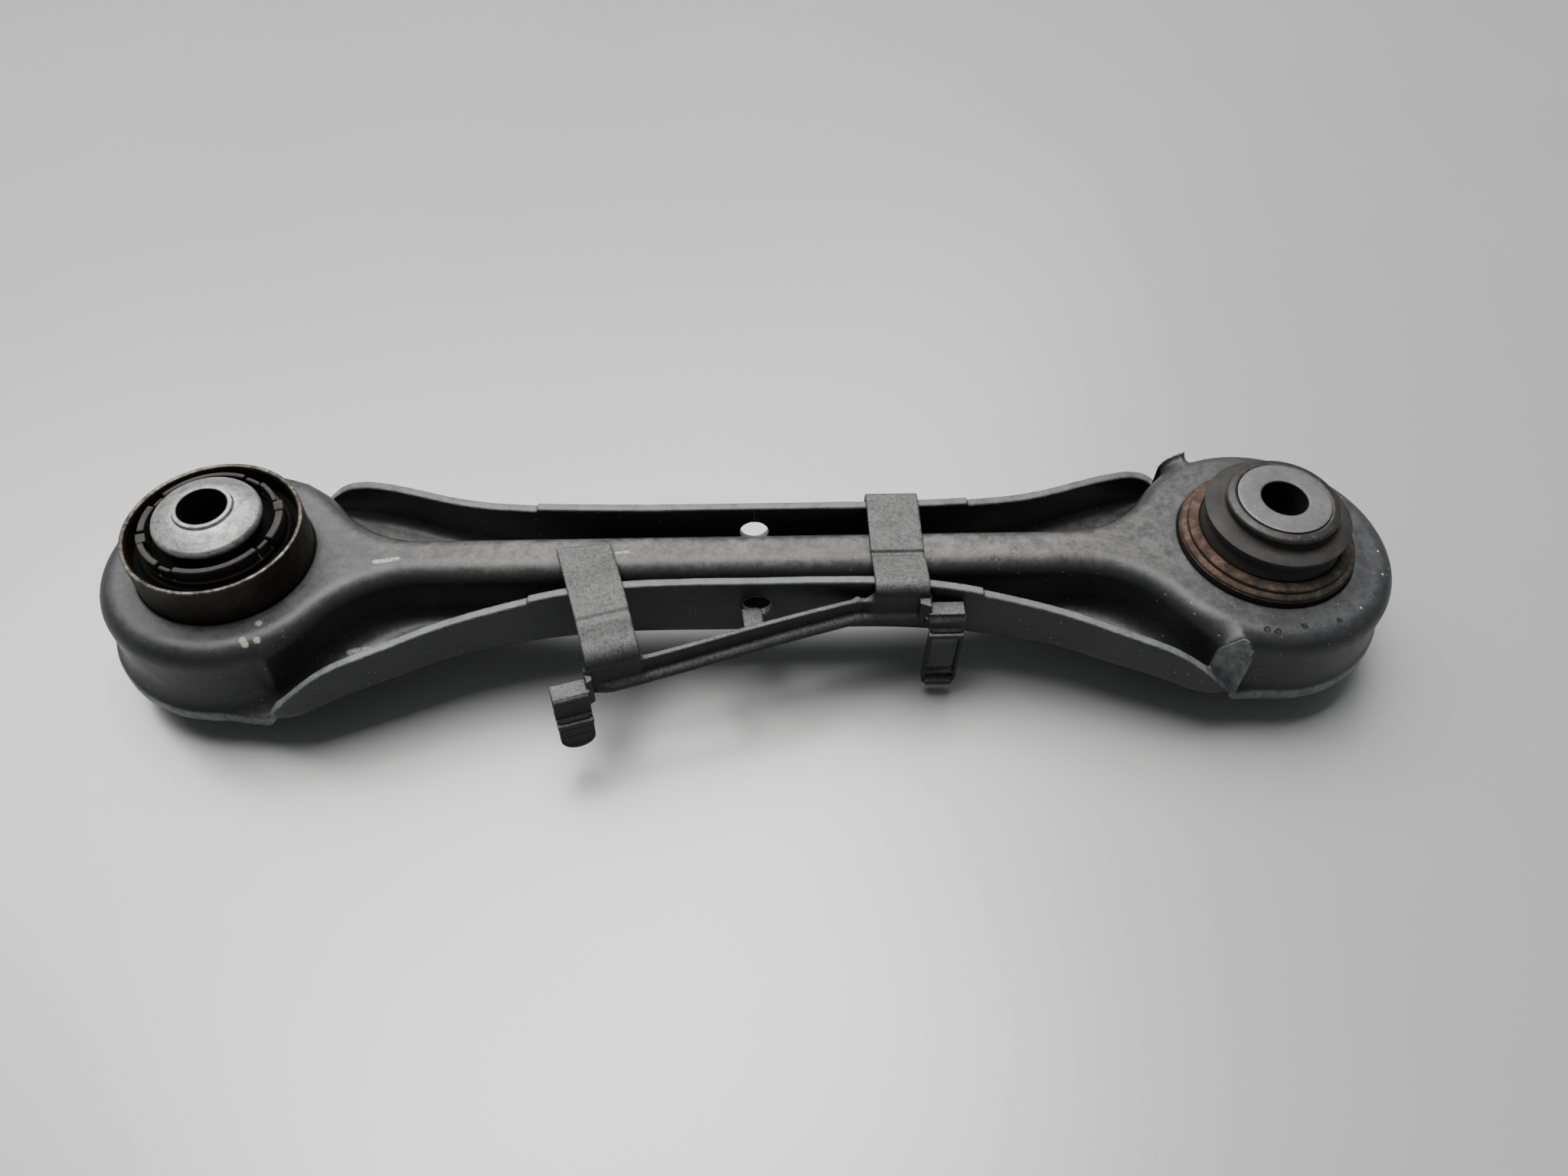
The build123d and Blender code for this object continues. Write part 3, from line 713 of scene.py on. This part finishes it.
def pressing_field(x, y, z):
    ay = np.abs(y)
    form = rmax(plan_form(x, ay), z - CROWN_Z, SHOULDER_R)
    tray = rmax(channel(x, ay), floor_top(x) - z, BEND_R)
    above = rmax(tray, -form, BEND_R + WIDEN * ease(np.abs(x), WIDEN_FROM, WIDEN_TO))
    shell = np.abs(above - SHEET / 2) - SHEET / 2
    shell = rmax(shell, trim_distance(x, ay, z), TRIM_R)
    bore = bore_distance(x, ay)
    low = per_side(x, {s: e["collar_z"] for s, e in EYES.items()})
    collar = rmax(-bore - SHEET, slab(z, low, CROWN_Z - 1.0), COLLAR_R)
    shell = rmin(shell, collar, COLLAR_FILLET)
    shell = rmax(shell, bore, BORE_R)
    return rmax(shell, hole_distance(x, ay, z), HOLE_EDGE_R)


def cut_mask(x, y, z):
    """1 on the sheet's cut edges, 0 on its faces."""
    ay = np.abs(y)
    near = np.maximum(trim_distance(x, ay, z), hole_distance(x, ay, z))
    return np.clip(1.0 + (near + CUT_DEPTH / 2) / CUT_DEPTH, 0, 1)


pressing = polygonise(
    "arm_sheet",
    pressing_field,
    low=(-177, -40, 6),
    high=(179, 40, 39.5),
    voxel=0.5,
    masks=[("cut", cut_mask)],
)
link("arm_sheet", pressing, LOOKS["coated_steel"], "arm", ["arm_pressing"])


# -------- turned pieces
TURNS = 144


def rounded(profile):
    """Points of a closed profile of (radius, height, rounding); a corner without one is sharp."""
    pts = [np.array(p[:2], float) for p in profile]
    out = []
    for i, corner in enumerate(pts):
        radius = profile[i][2] if len(profile[i]) > 2 else 0.0
        out += corner_curve(pts[i - 1], corner, pts[(i + 1) % len(pts)], radius, 0.48)
    return out


def dense(points, step):
    """Closed run of points with long sides divided, so that smooth shading stays on each side."""
    out = []
    for a, b in zip(points, points[1:] + points[:1]):
        n = max(1, int(math.ceil(np.linalg.norm(b - a) / step)))
        out += [a + (b - a) * k / n for k in range(n)]
    return out


def lathe(name, centre_x, profile, slot, body, nodes, flip_z=None, step=1.2, look=None):
    """Turned mesh from a closed profile; flip_z turns it over about that level."""
    points = dense(rounded(profile), step)
    if flip_z is not None:
        points = [np.array([p[0], 2 * flip_z - p[1]]) for p in points]
    area = sum(a[0] * b[1] - b[0] * a[1] for a, b in zip(points, points[1:] + points[:1]))
    if area > 0:
        points = points[::-1]
    count = len(points)
    verts, faces = [], []
    for i in range(TURNS):
        angle = 2 * math.pi * i / TURNS
        for r, z in points:
            x = centre_x + r * math.cos(angle)
            verts.append((x * MM, r * math.sin(angle) * MM, z * MM))
    for i in range(TURNS):
        j = (i + 1) % TURNS
        for k in range(count):
            n = (k + 1) % count
            faces.append((i * count + k, i * count + n, j * count + n, j * count + k))
    mesh = bpy.data.meshes.new(name)
    mesh.from_pydata(verts, [], faces)
    mesh.update()
    return link(name, mesh, LOOKS[look or slot], body, nodes)


BUSH_MID = sum(c.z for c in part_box("bush_outer_sleeve")) / 2 / MM
BALL_MID = sum(c.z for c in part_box("ball_sleeve")) / 2 / MM


def both_ends(name, centre_x, profile, slot, body, node, mid, look=None):
    """The same turned piece at the upper end and, turned over, at the lower end."""
    for end, flip_z in (("upper", None), ("lower", mid)):
        full_name, nodes = f"{name}_{end}_look", [f"{node}_{end}"]
        lathe(full_name, centre_x, profile, slot, body, nodes, flip_z=flip_z, look=look)


def mirrored(points, mid):
    """Upper half profile and its reflection as one closed profile."""
    return points + [(p[0], 2 * mid - p[1], *p[2:]) for p in reversed(points)]


SLEEVE_TOP = [(21.0, 45.4, 0.3), (21.35, 46.5, 0.3), (21.7, 46.7, 0.2), (22.5, 46.7, 0.5)]
lathe(
    "outer_sleeve",
    0.0,
    mirrored(SLEEVE_TOP, BUSH_MID),
    "sleeve_steel",
    "arm",
    ["bush_outer_sleeve"],
)
lathe(
    "inner_sleeve",
    0.0,
    mirrored([(6.1, 54.1, 0.25), (7.3, 54.1, 0.3), (7.4, 48.4, 0.1), (9.5, 48.4, 0.4)], BUSH_MID),
    "zinc_plate",
    "bush_core",
    ["bush_inner_sleeve"],
)
DOME = [
    (7.42, 48.6),
    (12.9, 48.6, 0.3),
    (13.55, 49.3, 0.4),
    (13.55, 50.3, 0.5),
    (13.2, 51.1, 0.4),
    (12.2, 51.65, 0.6),
    (10.4, 52.55, 0.8),
    (8.7, 53.2, 0.6),
    (7.9, 53.4, 0.2),
    (7.42, 53.35),
]
both_ends("collar", 0.0, DOME, "zinc_plate", "bush_core", "bush_collar", BUSH_MID)
lathe(
    "rubber_ring",
    0.0,
    mirrored(
        [
            (9.54, 44.6, 0.8),
            (11.8, 45.3, 1.0),
            (13.6, 44.6, 0.8),
            (15.0, 43.4, 0.3),
            (18.7, 43.4, 0.3),
            (19.4, 41.6, 0.8),
            (20.99, 41.0, 0.3),
        ],
        BUSH_MID,
    ),
    "bush_rubber",
    "arm",
    ["bush_rubber"],
)

RING_BASE = (15.7, 17.9)
RING_FOOT, RING_BASE_TOP, RING_TOP = 16.41, 18.2, 21.95
RING_CUT_ANGLE = 21.5
SLIT_HALF = 0.12
RING_BOX = 19.5
# leaves and links of the slit ring: start and end angle in degrees, inner and outer radius,
# and how far the top lies below the highest
RING_PIECES = [
    (-21, 11, 16.1, 18.5, 0.1),
    (11, 23, 15.7, 18.6, 0.0),
    (24, 52, 15.7, 17.4, 0.15),
    (52.5, 69, 15.5, 17.0, 0.45),
    (70, 147, 15.5, 17.2, 0.0),
    (148, 160, 15.6, 16.9, 0.6),
    (161, 192, 15.4, 17.6, 0.1),
    (193.5, 206, 15.1, 18.0, 0.25),
    (206, 238, 15.9, 17.9, 0.0),
    (239.5, 252, 16.4, 17.9, 0.45),
    (252.5, 325, 15.8, 17.8, 0.1),
    (326, 338, 16.3, 17.9, 0.5),
]


def split_ring_field(sign):
    """Slit ring: uneven leaves and low link pieces, joined at the foot."""

    def field(x, y, z):
        dx = x + MID_X
        h = sign * (z - BUSH_MID)
        r = np.hypot(dx, y)
        turned = np.degrees(np.arctan2(y, dx)) + RING_CUT_ANGLE
        angle = np.mod(turned, 360) - RING_CUT_ANGLE
        ring = rmax(slab(r, *RING_BASE), slab(h, RING_FOOT, RING_BASE_TOP), 0.3)
        for start, end, inner, outer, drop in RING_PIECES:
            past = np.abs(angle - (start + end) / 2) - (end - start) / 2
            across = past * math.pi / 180 * r + SLIT_HALF
            level = slab(h, 17.5, RING_TOP - drop)
            piece = rmax(slab(r, inner + 0.2, outer - 0.25), level, 0.25)
            ring = np.minimum(ring, rmax(piece, across, 0.35))
        return ring

    return field


for label, sign in (("upper", 1), ("lower", -1)):
    bottom, top = sorted((BUSH_MID + sign * 15.5, BUSH_MID + sign * 23.2))
    ring_mesh = polygonise(
        f"split_ring_{label}",
        split_ring_field(sign),
        low=(-MID_X - RING_BOX, -RING_BOX, bottom),
        high=(-MID_X + RING_BOX, RING_BOX, top),
        voxel=0.3,
    )
    link(
        f"split_ring_{label}",
        ring_mesh,
        LOOKS["ring_plastic"],
        "arm",
        [f"bush_split_ring_{label}"],
    )

# -------- sleeve ball joint
BALL_R = 17.5
NECK_JOINT_R = 10.5
neck_h = math.sqrt(BALL_R**2 - NECK_JOINT_R**2)
ball_arc = [
    (BALL_R * math.cos(a), BALL_MID + BALL_R * math.sin(a))
    for a in np.linspace(math.atan2(neck_h, NECK_JOINT_R), 0, 14)
]
sleeve_top = 2 * BALL_MID
lathe(
    "joint_sleeve",
    JOINT_X,
    mirrored(
        [
            (6.0, sleeve_top, 0.45),
            (12.2, sleeve_top, 0.22),
            (12.2, BALL_MID + 23.5, 0.1),
            (10.5, BALL_MID + 23.3, 0.3),
        ]
        + ball_arc,
        BALL_MID,
    ),
    "machined_steel",
    "ball_core",
    ["ball_sleeve"],
)
both_ends(
    "clamp_ring",
    JOINT_X,
    [
        (18.9, 37.05),
        (23.12, 37.05),
        (23.12, 36.2),
        (23.3, 36.2, 0.1),
        (23.3, 37.1, 0.7),
        (22.6, 37.5, 0.5),
        (21.75, 37.8, 0.25),
        (21.7, 38.65, 0.35),
        (21.3, 39.0, 0.35),
        (19.2, 39.5, 0.2),
        (18.9, 39.3),
    ],
    "browned_steel",
    "arm",
    "boot_clamp_ring",
    BALL_MID,
)
both_ends(
    "lip_ring",
    JOINT_X,
    [
        (12.25, 49.3),
        (14.4, 49.3, 0.2),
        (14.85, 49.6, 0.3),
        (14.85, 50.35, 0.3),
        (14.45, 50.75, 0.3),
        (12.9, 51.12, 0.15),
        (12.4, 51.0, 0.1),
        (12.25, 50.7),
    ],
    "browned_steel",
    "lip_rings",
    "boot_lip_ring",
    BALL_MID,
    look="oiled_steel",
)
# each boot is two rings that meet at its waist
WAIST_Z = 43.0
BOOT_FOOT = [
    (17.2, 37.1, 0.2),
    (18.75, 37.1, 0.2),
    (18.8, 39.6, 0.3),
    (18.3, 41.0, 0.8),
    (17.45, 42.3, 0.5),
    (17.6, WAIST_Z),
    (16.1, WAIST_Z),
    (16.0, 42.2, 0.4),
    (16.9, 40.6, 0.5),
    (17.4, 39.2, 0.5),
    (17.2, 38.6, 0.3),
]
BOOT_HEAD = [
    (17.6, WAIST_Z),
    (18.75, 43.75, 0.5),
    (19.05, 44.5, 0.5),
    (19.02, 45.75, 0.08),
    (19.2, 45.85, 0.05),
    (19.2, 46.0, 0.05),
    (18.9, 46.15, 0.1),
    (17.2, 46.7, 0.8),
    (14.9, 46.95, 0.8),
    (14.1, 47.4, 0.4),
    (14.0, 49.12, 0.1),
    (12.42, 49.12, 0.1),
    (10.65, 48.75, 0.2),
    (10.65, 46.3, 0.2),
    (13.2, 46.25, 0.5),
    (16.9, 45.7, 0.4),
    (17.8, 44.9, 0.3),
    (16.6, 43.7, 0.4),
    (16.1, WAIST_Z),
]


for end, flip in (("upper", None), ("lower", BALL_MID)):

    def level(z):
        return z if flip is None else 2 * BALL_MID - z

    for part, profile, bodies, span in (
        ("foot", BOOT_FOOT, ("arm", "boots"), (38.8, 42.9)),
        ("head", BOOT_HEAD, ("boots", "lip_rings"), (43.1, 46.2)),
    ):
        cover = lathe(
            f"boot_{end}_{part}",
            JOINT_X,
            profile,
            "boot_rubber",
            None,
            [f"boot_{end}"],
            flip_z=flip,
            step=0.7,
        )
        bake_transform(cover)

# -------- cable holder
# the left band leans over by SKEW: A points along the rail's left run, O out along the band
SKEW = math.radians(15.5)
AX, AY = math.cos(SKEW), math.sin(SKEW)
OX, OY = math.sin(SKEW), -math.cos(SKEW)
# outer face of the rail: at FACE_Y on its right run, and REACH out from CREST on its left run
FACE_Y = -17.9
CREST = (-39.0, -1.33)
REACH = 33.4
LEFT_FACE = (CREST[0] + OX * REACH, CREST[1] + OY * REACH)
LEFT_BAND_W = 14.3
RIGHT_BAND_X = (30.6, 45.0)
RUN = (FACE_Y - LEFT_FACE[1]) / AY
BEND_X = LEFT_FACE[0] + RUN * AX
RAIL_T = 1.5
PLATE_HALF = 0.72
THICKENING = 0.38


def left_axes(x, y):
    """Distance out along the left band, and distance left of its right edge."""
    dx, dy = x - CREST[0], y - CREST[1]
    return dx * OX + dy * OY, -(dx * AX + dy * AY)


def right_axes(x, y):
    """Distance out along the right band, and distance right of its left edge."""
    return -y, x - RIGHT_BAND_X[0]


# middle of each band's section: distance out, and height
LEFT_CORNERS = [
    (-6, 35.45),
    (0.5, 35.62),
    (11.0, 37.6),
    (16.8, 37.85),
    (22.6, 37.5),
    (32.4, 33.6),
    (32.5, 24.2),
]
RIGHT_CORNERS = [
    (-16.4, 30.5),
    (-16.4, 37.5),
    (-13.5, 37.6),
    (3.7, 35.6),
    (14.4, 37.75),
    (17.0, 36.6),
    (17.0, 26.9),
]
LEFT_LINE = eased(LEFT_CORNERS, 2.4)
RIGHT_LINE = eased(RIGHT_CORNERS, 2.2)

# the rail's top edge and the middle of its bead climb along the run from left to right
BEAD_R, BEAD_OUT = 1.6, 0.55
rail_high = smooth_curve([-40, 8, 32, 110], [31.0, 31.0, 32.5, 32.8])
bead_mid = smooth_curve([-40, 2, 16, 28, 39, 50, 110], [23.7, 23.9, 24.7, 25.5, 26.3, 26.7, 26.7])


def rail_section(out, run, z):
    """Distance to the rail's section: a thin upright face over a rounded bead."""
    mid = bead_mid(run)
    face = rmax(slab(out, -RAIL_T, 0), slab(z, mid, rail_high(run)), 0.3)
    bead = np.hypot(out - BEAD_OUT, z - mid) - BEAD_R
    return rmin(face, bead, 0.6)


def groove(a, b, at, depth=0.35, radius=1.1):
    """Shallow rounded channel along a line seen end-on at the point at."""
    return radius - np.hypot(a - at[0], b - at[1] - radius + depth)


def left_band(x, y, z):
    """Wide slanting band that narrows outwards, with a rib below it and a groove over its bend."""
    s, w = left_axes(x, y)
    across = w + 0.045 * (REACH - s)
    width = LEFT_BAND_W + 0.5 - 0.03 * s
    thick = PLATE_HALF + THICKENING * ease(s, 27, 31)
    band = path_distance(LEFT_LINE, s, z) - thick
    band = rmax(band, np.maximum(0.45 - 0.015 * s - across, across - width), 0.4)
    # its far end is cut off at a slight slant, near the ridge's crest
    band = rmax(band, (y + 0.3 - 0.12 * (x + 53)) * 0.99, 0.3)
    band = rmax(band, groove(s, z, (22.6, 38.25), 0.5, 0.9), 0.5)
    rib = block([(7.3, 8.7), (0.6, width - 0.8), (30.0, 37.2)], 0.5, s, across, z)
    return rmin(band, rib, 0.6)


def right_band(x, y, z):
    """Band square across the arm, hooked over its far wall, with two ribs below it."""
    t, v = right_axes(x, y)
    thick = PLATE_HALF + THICKENING * ease(t, 13.5, 16.5)
    band = path_distance(RIGHT_LINE, t, z) - thick
    band = rmax(band, slab(v, 0, RIGHT_BAND_X[1] - RIGHT_BAND_X[0]), 0.4)
    band = rmax(band, groove(t, z, (3.9, 36.4), 0.65, 0.8), 0.5)
    ribs = block([(10.4, 12.0), (0.5, 13.9), (30.0, 37.2)], 0.5, np.abs(t), v, z)
    return rmin(band, ribs, 0.6)


def rail(x, y, z):
    """Rail in two runs: the left one is square to the left band, the right one follows the arm."""
    s, w = left_axes(x, y)
    left = np.maximum(rail_section(s - REACH, -w, z), slab(-w, -LEFT_BAND_W, RUN + 0.3))
    right = rail_section(FACE_Y - y, RUN + x - BEND_X, z)
    right = np.maximum(right, slab(x, BEND_X - 0.3, RIGHT_BAND_X[1]))
    return rmin(left, right, 1.5)


def plug(x, y, z):
    """Leaning block from the rail to the near wall's hole, over a small peg."""
    lean = x + 1.6 + 0.11 * (y + 16.0)
    lump = rmax(slab(lean, -2.75, 2.75), slab(z, 25.6, 29.2), 0.5)
    lump = rmax(lump, slab(-y, 15.9, 24.4), 0.9)
    peg = rmax(slab(x + 1.0, -1.7, 1.7), slab(z, 24.6, 26.4), 0.5)
    return rmin(lump, rmax(peg, slab(-y, 13.6, 21.0), 0.4), 0.4)


def holder_field(x, y, z):
    """The bands, the rail between them and the plug, filleted into one moulding."""
    body = rmin(rail(x, y, z), plug(x, y, z), 0.8)
    body = rmin(body, left_band(x, y, z), 1.8)
    return rmin(body, right_band(x, y, z), 2.8)


holder = polygonise(
    "holder_body",
    holder_field,
    low=(-62, -37, 20),
    high=(47, 20, 40),
    voxel=0.4,
)
link("holder_body", holder, LOOKS["holder_nylon"], "arm", ["cable_holder"])

# levels of each block and of its strap's end; the cheek's left side, top and foot
CLAMPS = {
    "left": {"top": 28.2, "low": 20.0, "strap_low": 8.2, "cheek": (-1.5, 30.4, 20.7)},
    "right": {"top": 32.0, "low": 26.9, "strap_low": 3.8, "cheek": (-2.8, 34.7, 26.2)},
}


def clamp_axes(side, x, y):
    """Coordinates of a clamp: along its block, and outwards from the rail's face."""
    if side == "left":
        s, w = left_axes(x, y)
        return w - LEFT_BAND_W, s - REACH
    return x - RIGHT_BAND_X[1], FACE_Y - y


def clamp_field(side):
    """Block at the end of the rail, with a cheek beside it and a ledge under its front."""
    top, low = CLAMPS[side]["top"], CLAMPS[side]["low"]
    cheek_u, cheek_top, cheek_low = CLAMPS[side]["cheek"]

    def field(x, y, z):
        u, n = clamp_axes(side, x, y)
        cheek = block([(cheek_u, 0.3), (-0.7, 3.4), (cheek_low, cheek_top)], 0.45, u, n, z)
        cheek = rmax(cheek, (n - 2.1 - 0.4 * (u - cheek_u)) * 0.93, 0.4)
        # the lower part stands out further than the upper one and is bevelled along its front
        upper = block([(-0.4, 9.3), (-0.6, 3.75), (top - 3.0, top)], 0.3, u, n, z)
        if side == "right":
            lower = block([(-0.2, 9.6), (-0.2, 4.9), (low, top - 0.8)], 0.3, u, n, z)
            lower = rmax(lower, (n - 3.9) * 0.79 + (z - 30.9) * 0.62, 0.3)
        else:
            upper = rmax(upper, (z - top + 0.12 * n) * 0.99, 0.25)
            lower = block([(0.1, 9.4), (-0.2, 4.7), (low, top - 0.5)], 0.3, u, n, z)
            lower = rmax(lower, (n - 4.35) * 0.72 + (z - top + 1.0) * 0.69, 0.5)
        solid = rmin(rmin(upper, lower, 0.12), cheek, 0.5)
        ledge = block([(0.1, 9.4), (2.0, 5.25), (low - 0.1, low + 0.55)], 0.22, u, n, z)
        solid = rmin(solid, ledge, 0.2)
        if side == "right":
            peg = block([(-1.1, 0.1), (2.6, 3.9), (low - 0.3, low + 3.4)], 0.3, u, n, z)
            solid = rmin(solid, peg, 0.15)
        return solid

    return field


HINGE_OUT = 5.4
STRAP_T = 1.8
BLOCK_MID = 4.7
TONGUE_R = 4.6


def strap_field(side):
    """Open strap below its block: a frame with a window and a foot lip, or a round-ended tongue."""
    top, low = CLAMPS[side]["low"] - 0.8, CLAMPS[side]["strap_low"]
    inner, outer = HINGE_OUT - STRAP_T / 2, HINGE_OUT + STRAP_T / 2

    def tongue(du, n, z):
        outline = rmax(du - 4.65, z - top, 0.3)
        from_centre = np.hypot(du, np.minimum(z - low - TONGUE_R, 0))
        outline = rmax(outline, from_centre - TONGUE_R, 0.3)
        plate = rmax(outline, slab(n, inner, outer), 0.35)
        pocket = rmax(from_centre - 3.9, z - top + 1.3, 0.6)
        plate = rmax(plate, -rmax(pocket, outer - 0.4 - n, 0.15), 0.15)
        for level in (low + 4.6, low + 8.0):
            bar = rmax(du - 3.5, slab(z, level, level + 0.6), 0.2)
            bar = rmax(bar, slab(n, inner, outer - 0.1), 0.2)
            plate = rmin(plate, bar, 0.25)
        return plate

    def frame_shape(du, n, z):
        foot = np.hypot(np.maximum(du - 1.9, 0), np.minimum(z - low - 2.8, 0)) - 2.8
        outline = rmax(rmax(du - 4.7, z - top, 0.4), np.where(z < low + 2.8, foot, -9.0), 0.2)
        plate = rmax(outline, slab(n, inner, outer), 0.3)
        window = rmax(du - 3.6, slab(z, low + 6.3, top - 1.3), 0.35)
        plate = rmax(plate, -window, 0.15)
        rim = rmax(np.abs(window - 0.4) - 0.28, slab(n, outer - 0.6, outer + 0.3), 0.12)
        plate = rmin(plate, rim, 0.12)
        slot = rmax(du - 3.6, slab(z, low + 2.9, low + 5.2), 0.5)
        plate = rmax(plate, -rmax(slot, inner + 0.4 - n, 0.2), 0.2)
        lip = rmax(du - 3.7, slab(z, low + 0.9, low + 2.6), 0.6)
        lip = rmax(lip, slab(n, inner + 0.4, outer + 0.9), 0.5)
        return rmin(plate, lip, 0.4)

    def field(x, y, z):
        u, n = clamp_axes(side, x, y)
        du = np.abs(u - BLOCK_MID)
        plate = tongue(du, n, z) if side == "left" else frame_shape(du, n, z)
        width = (BLOCK_MID - 4.65, BLOCK_MID + 4.65)
        boss = block([width, (top - 1.4, top), (inner, outer + 0.15)], 0.3, u, z, n)
        return rmin(plate, boss, 0.25)

    return field


def hinge_field(side):
    """Thin web that joins the block's ledge to the strap's top edge."""
    low = CLAMPS[side]["low"]
    line = eased([(4.3, low + 0.2), (5.1, low + 0.25), (5.45, low - 0.1), (5.45, low - 1.2)], 0.4)
    half_thick = 0.17

    def field(x, y, z):
        u, n = clamp_axes(side, x, y)
        return rmax(path_distance(line, n, z) - half_thick, slab(u, 0.9, 8.6), 0.1)

    return field


def clamp_point(side, u, n):
    """Place in the arm's axes, measured from its middle, of a point in a clamp's coordinates."""
    if side == "left":
        w, s = u + LEFT_BAND_W, n + REACH
        return CREST[0] + s * OX - w * AX, CREST[1] + s * OY - w * AY
    return RIGHT_BAND_X[1] + u, FACE_Y - n


def clamp_box(side, u, n, z):
    """Box in the arm's axes that holds the given ranges of a clamp's coordinates."""
    xs, ys = zip(*[clamp_point(side, cu, cn) for cu in u for cn in n])
    return (min(xs), min(ys), z[0]), (max(xs), max(ys), z[1])


fine = 0.2
nylon = LOOKS["holder_nylon"]
for side, size in CLAMPS.items():
    low = size["low"]
    box = clamp_box(side, (-3, 10.6), (-2.5, 6.5), (low - 3.5, size["top"] + 4))
    mesh = polygonise(f"clamp_{side}", clamp_field(side), *box, fine)
    link(f"clamp_{side}", mesh, nylon, "arm", ["cable_holder"])
    box = clamp_box(side, (-0.8, 10.6), (3.5, 8.4), (size["strap_low"] - 1, low + 0.6))
    mesh = polygonise(f"strap_{side}", strap_field(side), *box, fine)
    strap = link(f"strap_{side}_look", mesh, nylon, f"strap_{side}")
    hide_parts(f"cable_strap_{side}")
    box = clamp_box(side, (0.2, 9.3), (3.8, 6.2), (low - 1.8, low + 0.9))
    mesh = polygonise(f"hinge_{side}", hinge_field(side), *box, 0.16)
    web = link(f"hinge_{side}", mesh, nylon, nodes=[f"cable_strap_{side}"])
    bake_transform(web)

# -------- camera, light, floor
camera_data = bpy.data.cameras.new("camera")
camera_data.sensor_width = 36.0
camera_data.lens = 28.477
camera_data.clip_start = 10 * MM
camera = bpy.data.objects.new("camera", camera_data)
bpy.context.scene.collection.objects.link(camera)
CAMERA_PLACE = (0.13094, -0.21817, 0.28619)
camera_right = Vector((0.99873, -0.04337, 0.0256))
camera_up = Vector((0.01751, 0.77572, 0.63084))
camera_back = Vector((-0.04722, -0.62959, 0.77549))
turn = Matrix((camera_right, camera_up, camera_back)).transposed().to_4x4()
camera.matrix_world = Matrix.Translation(CAMERA_PLACE) @ turn
bpy.context.scene.camera = camera

CENTRE = (MID_X * MM, 0, 0.02)


def area_light(name, place, size, power):
    """Rectangular light turned towards the arm."""
    data = bpy.data.lights.new(name, "AREA")
    data.shape = "RECTANGLE"
    data.size, data.size_y = size
    data.energy = power
    obj = bpy.data.objects.new(name, data)
    obj.location = place
    obj.rotation_mode = "QUATERNION"
    obj.rotation_quaternion = (Vector(CENTRE) - Vector(place)).to_track_quat("-Z", "Y")
    bpy.context.scene.collection.objects.link(obj)


area_light("key", (-0.05, 0.98, 1.18), (1.5, 0.7), 13)
area_light("top", (0.0, 0.28, 1.38), (1.0, 0.7), 21)
area_light("left", (-0.75, 0.5, 1.0), (0.6, 0.6), 4)
area_light("fill", (0.6, -1.1, 0.9), (1.0, 0.6), 0.4)
world = bpy.data.worlds.new("world")
bpy.context.scene.world = world
world.use_nodes = True
sky = world.node_tree.nodes["Background"]
sky.inputs["Color"].default_value = (0.9, 0.92, 0.95, 1)
sky.inputs["Strength"].default_value = 0.15

FLOOR_HALF = 6.0
FLOOR_LEVEL = -0.2 * MM
floor_mesh = bpy.data.meshes.new("floor")
floor_build = bmesh.new()
bmesh.ops.create_grid(floor_build, x_segments=8, y_segments=8, size=FLOOR_HALF)
floor_build.to_mesh(floor_mesh)
floor_build.free()
floor_look = Shader("floor")
floor_look.set(
    Base_Color=floor_look.patches(
        (9, 6, 0.6), (0.3, (0.56, 0.56, 0.555)), (0.7, (0.58, 0.58, 0.575))
    ),
    Metallic=0.25,
    Roughness=0.34,
    Normal=floor_look.bump(floor_look.noise(500, 4), 0.08, 0.0003),
)
floor = link("floor", floor_mesh, floor_look.material)
floor.location = (0, 0, FLOOR_LEVEL)
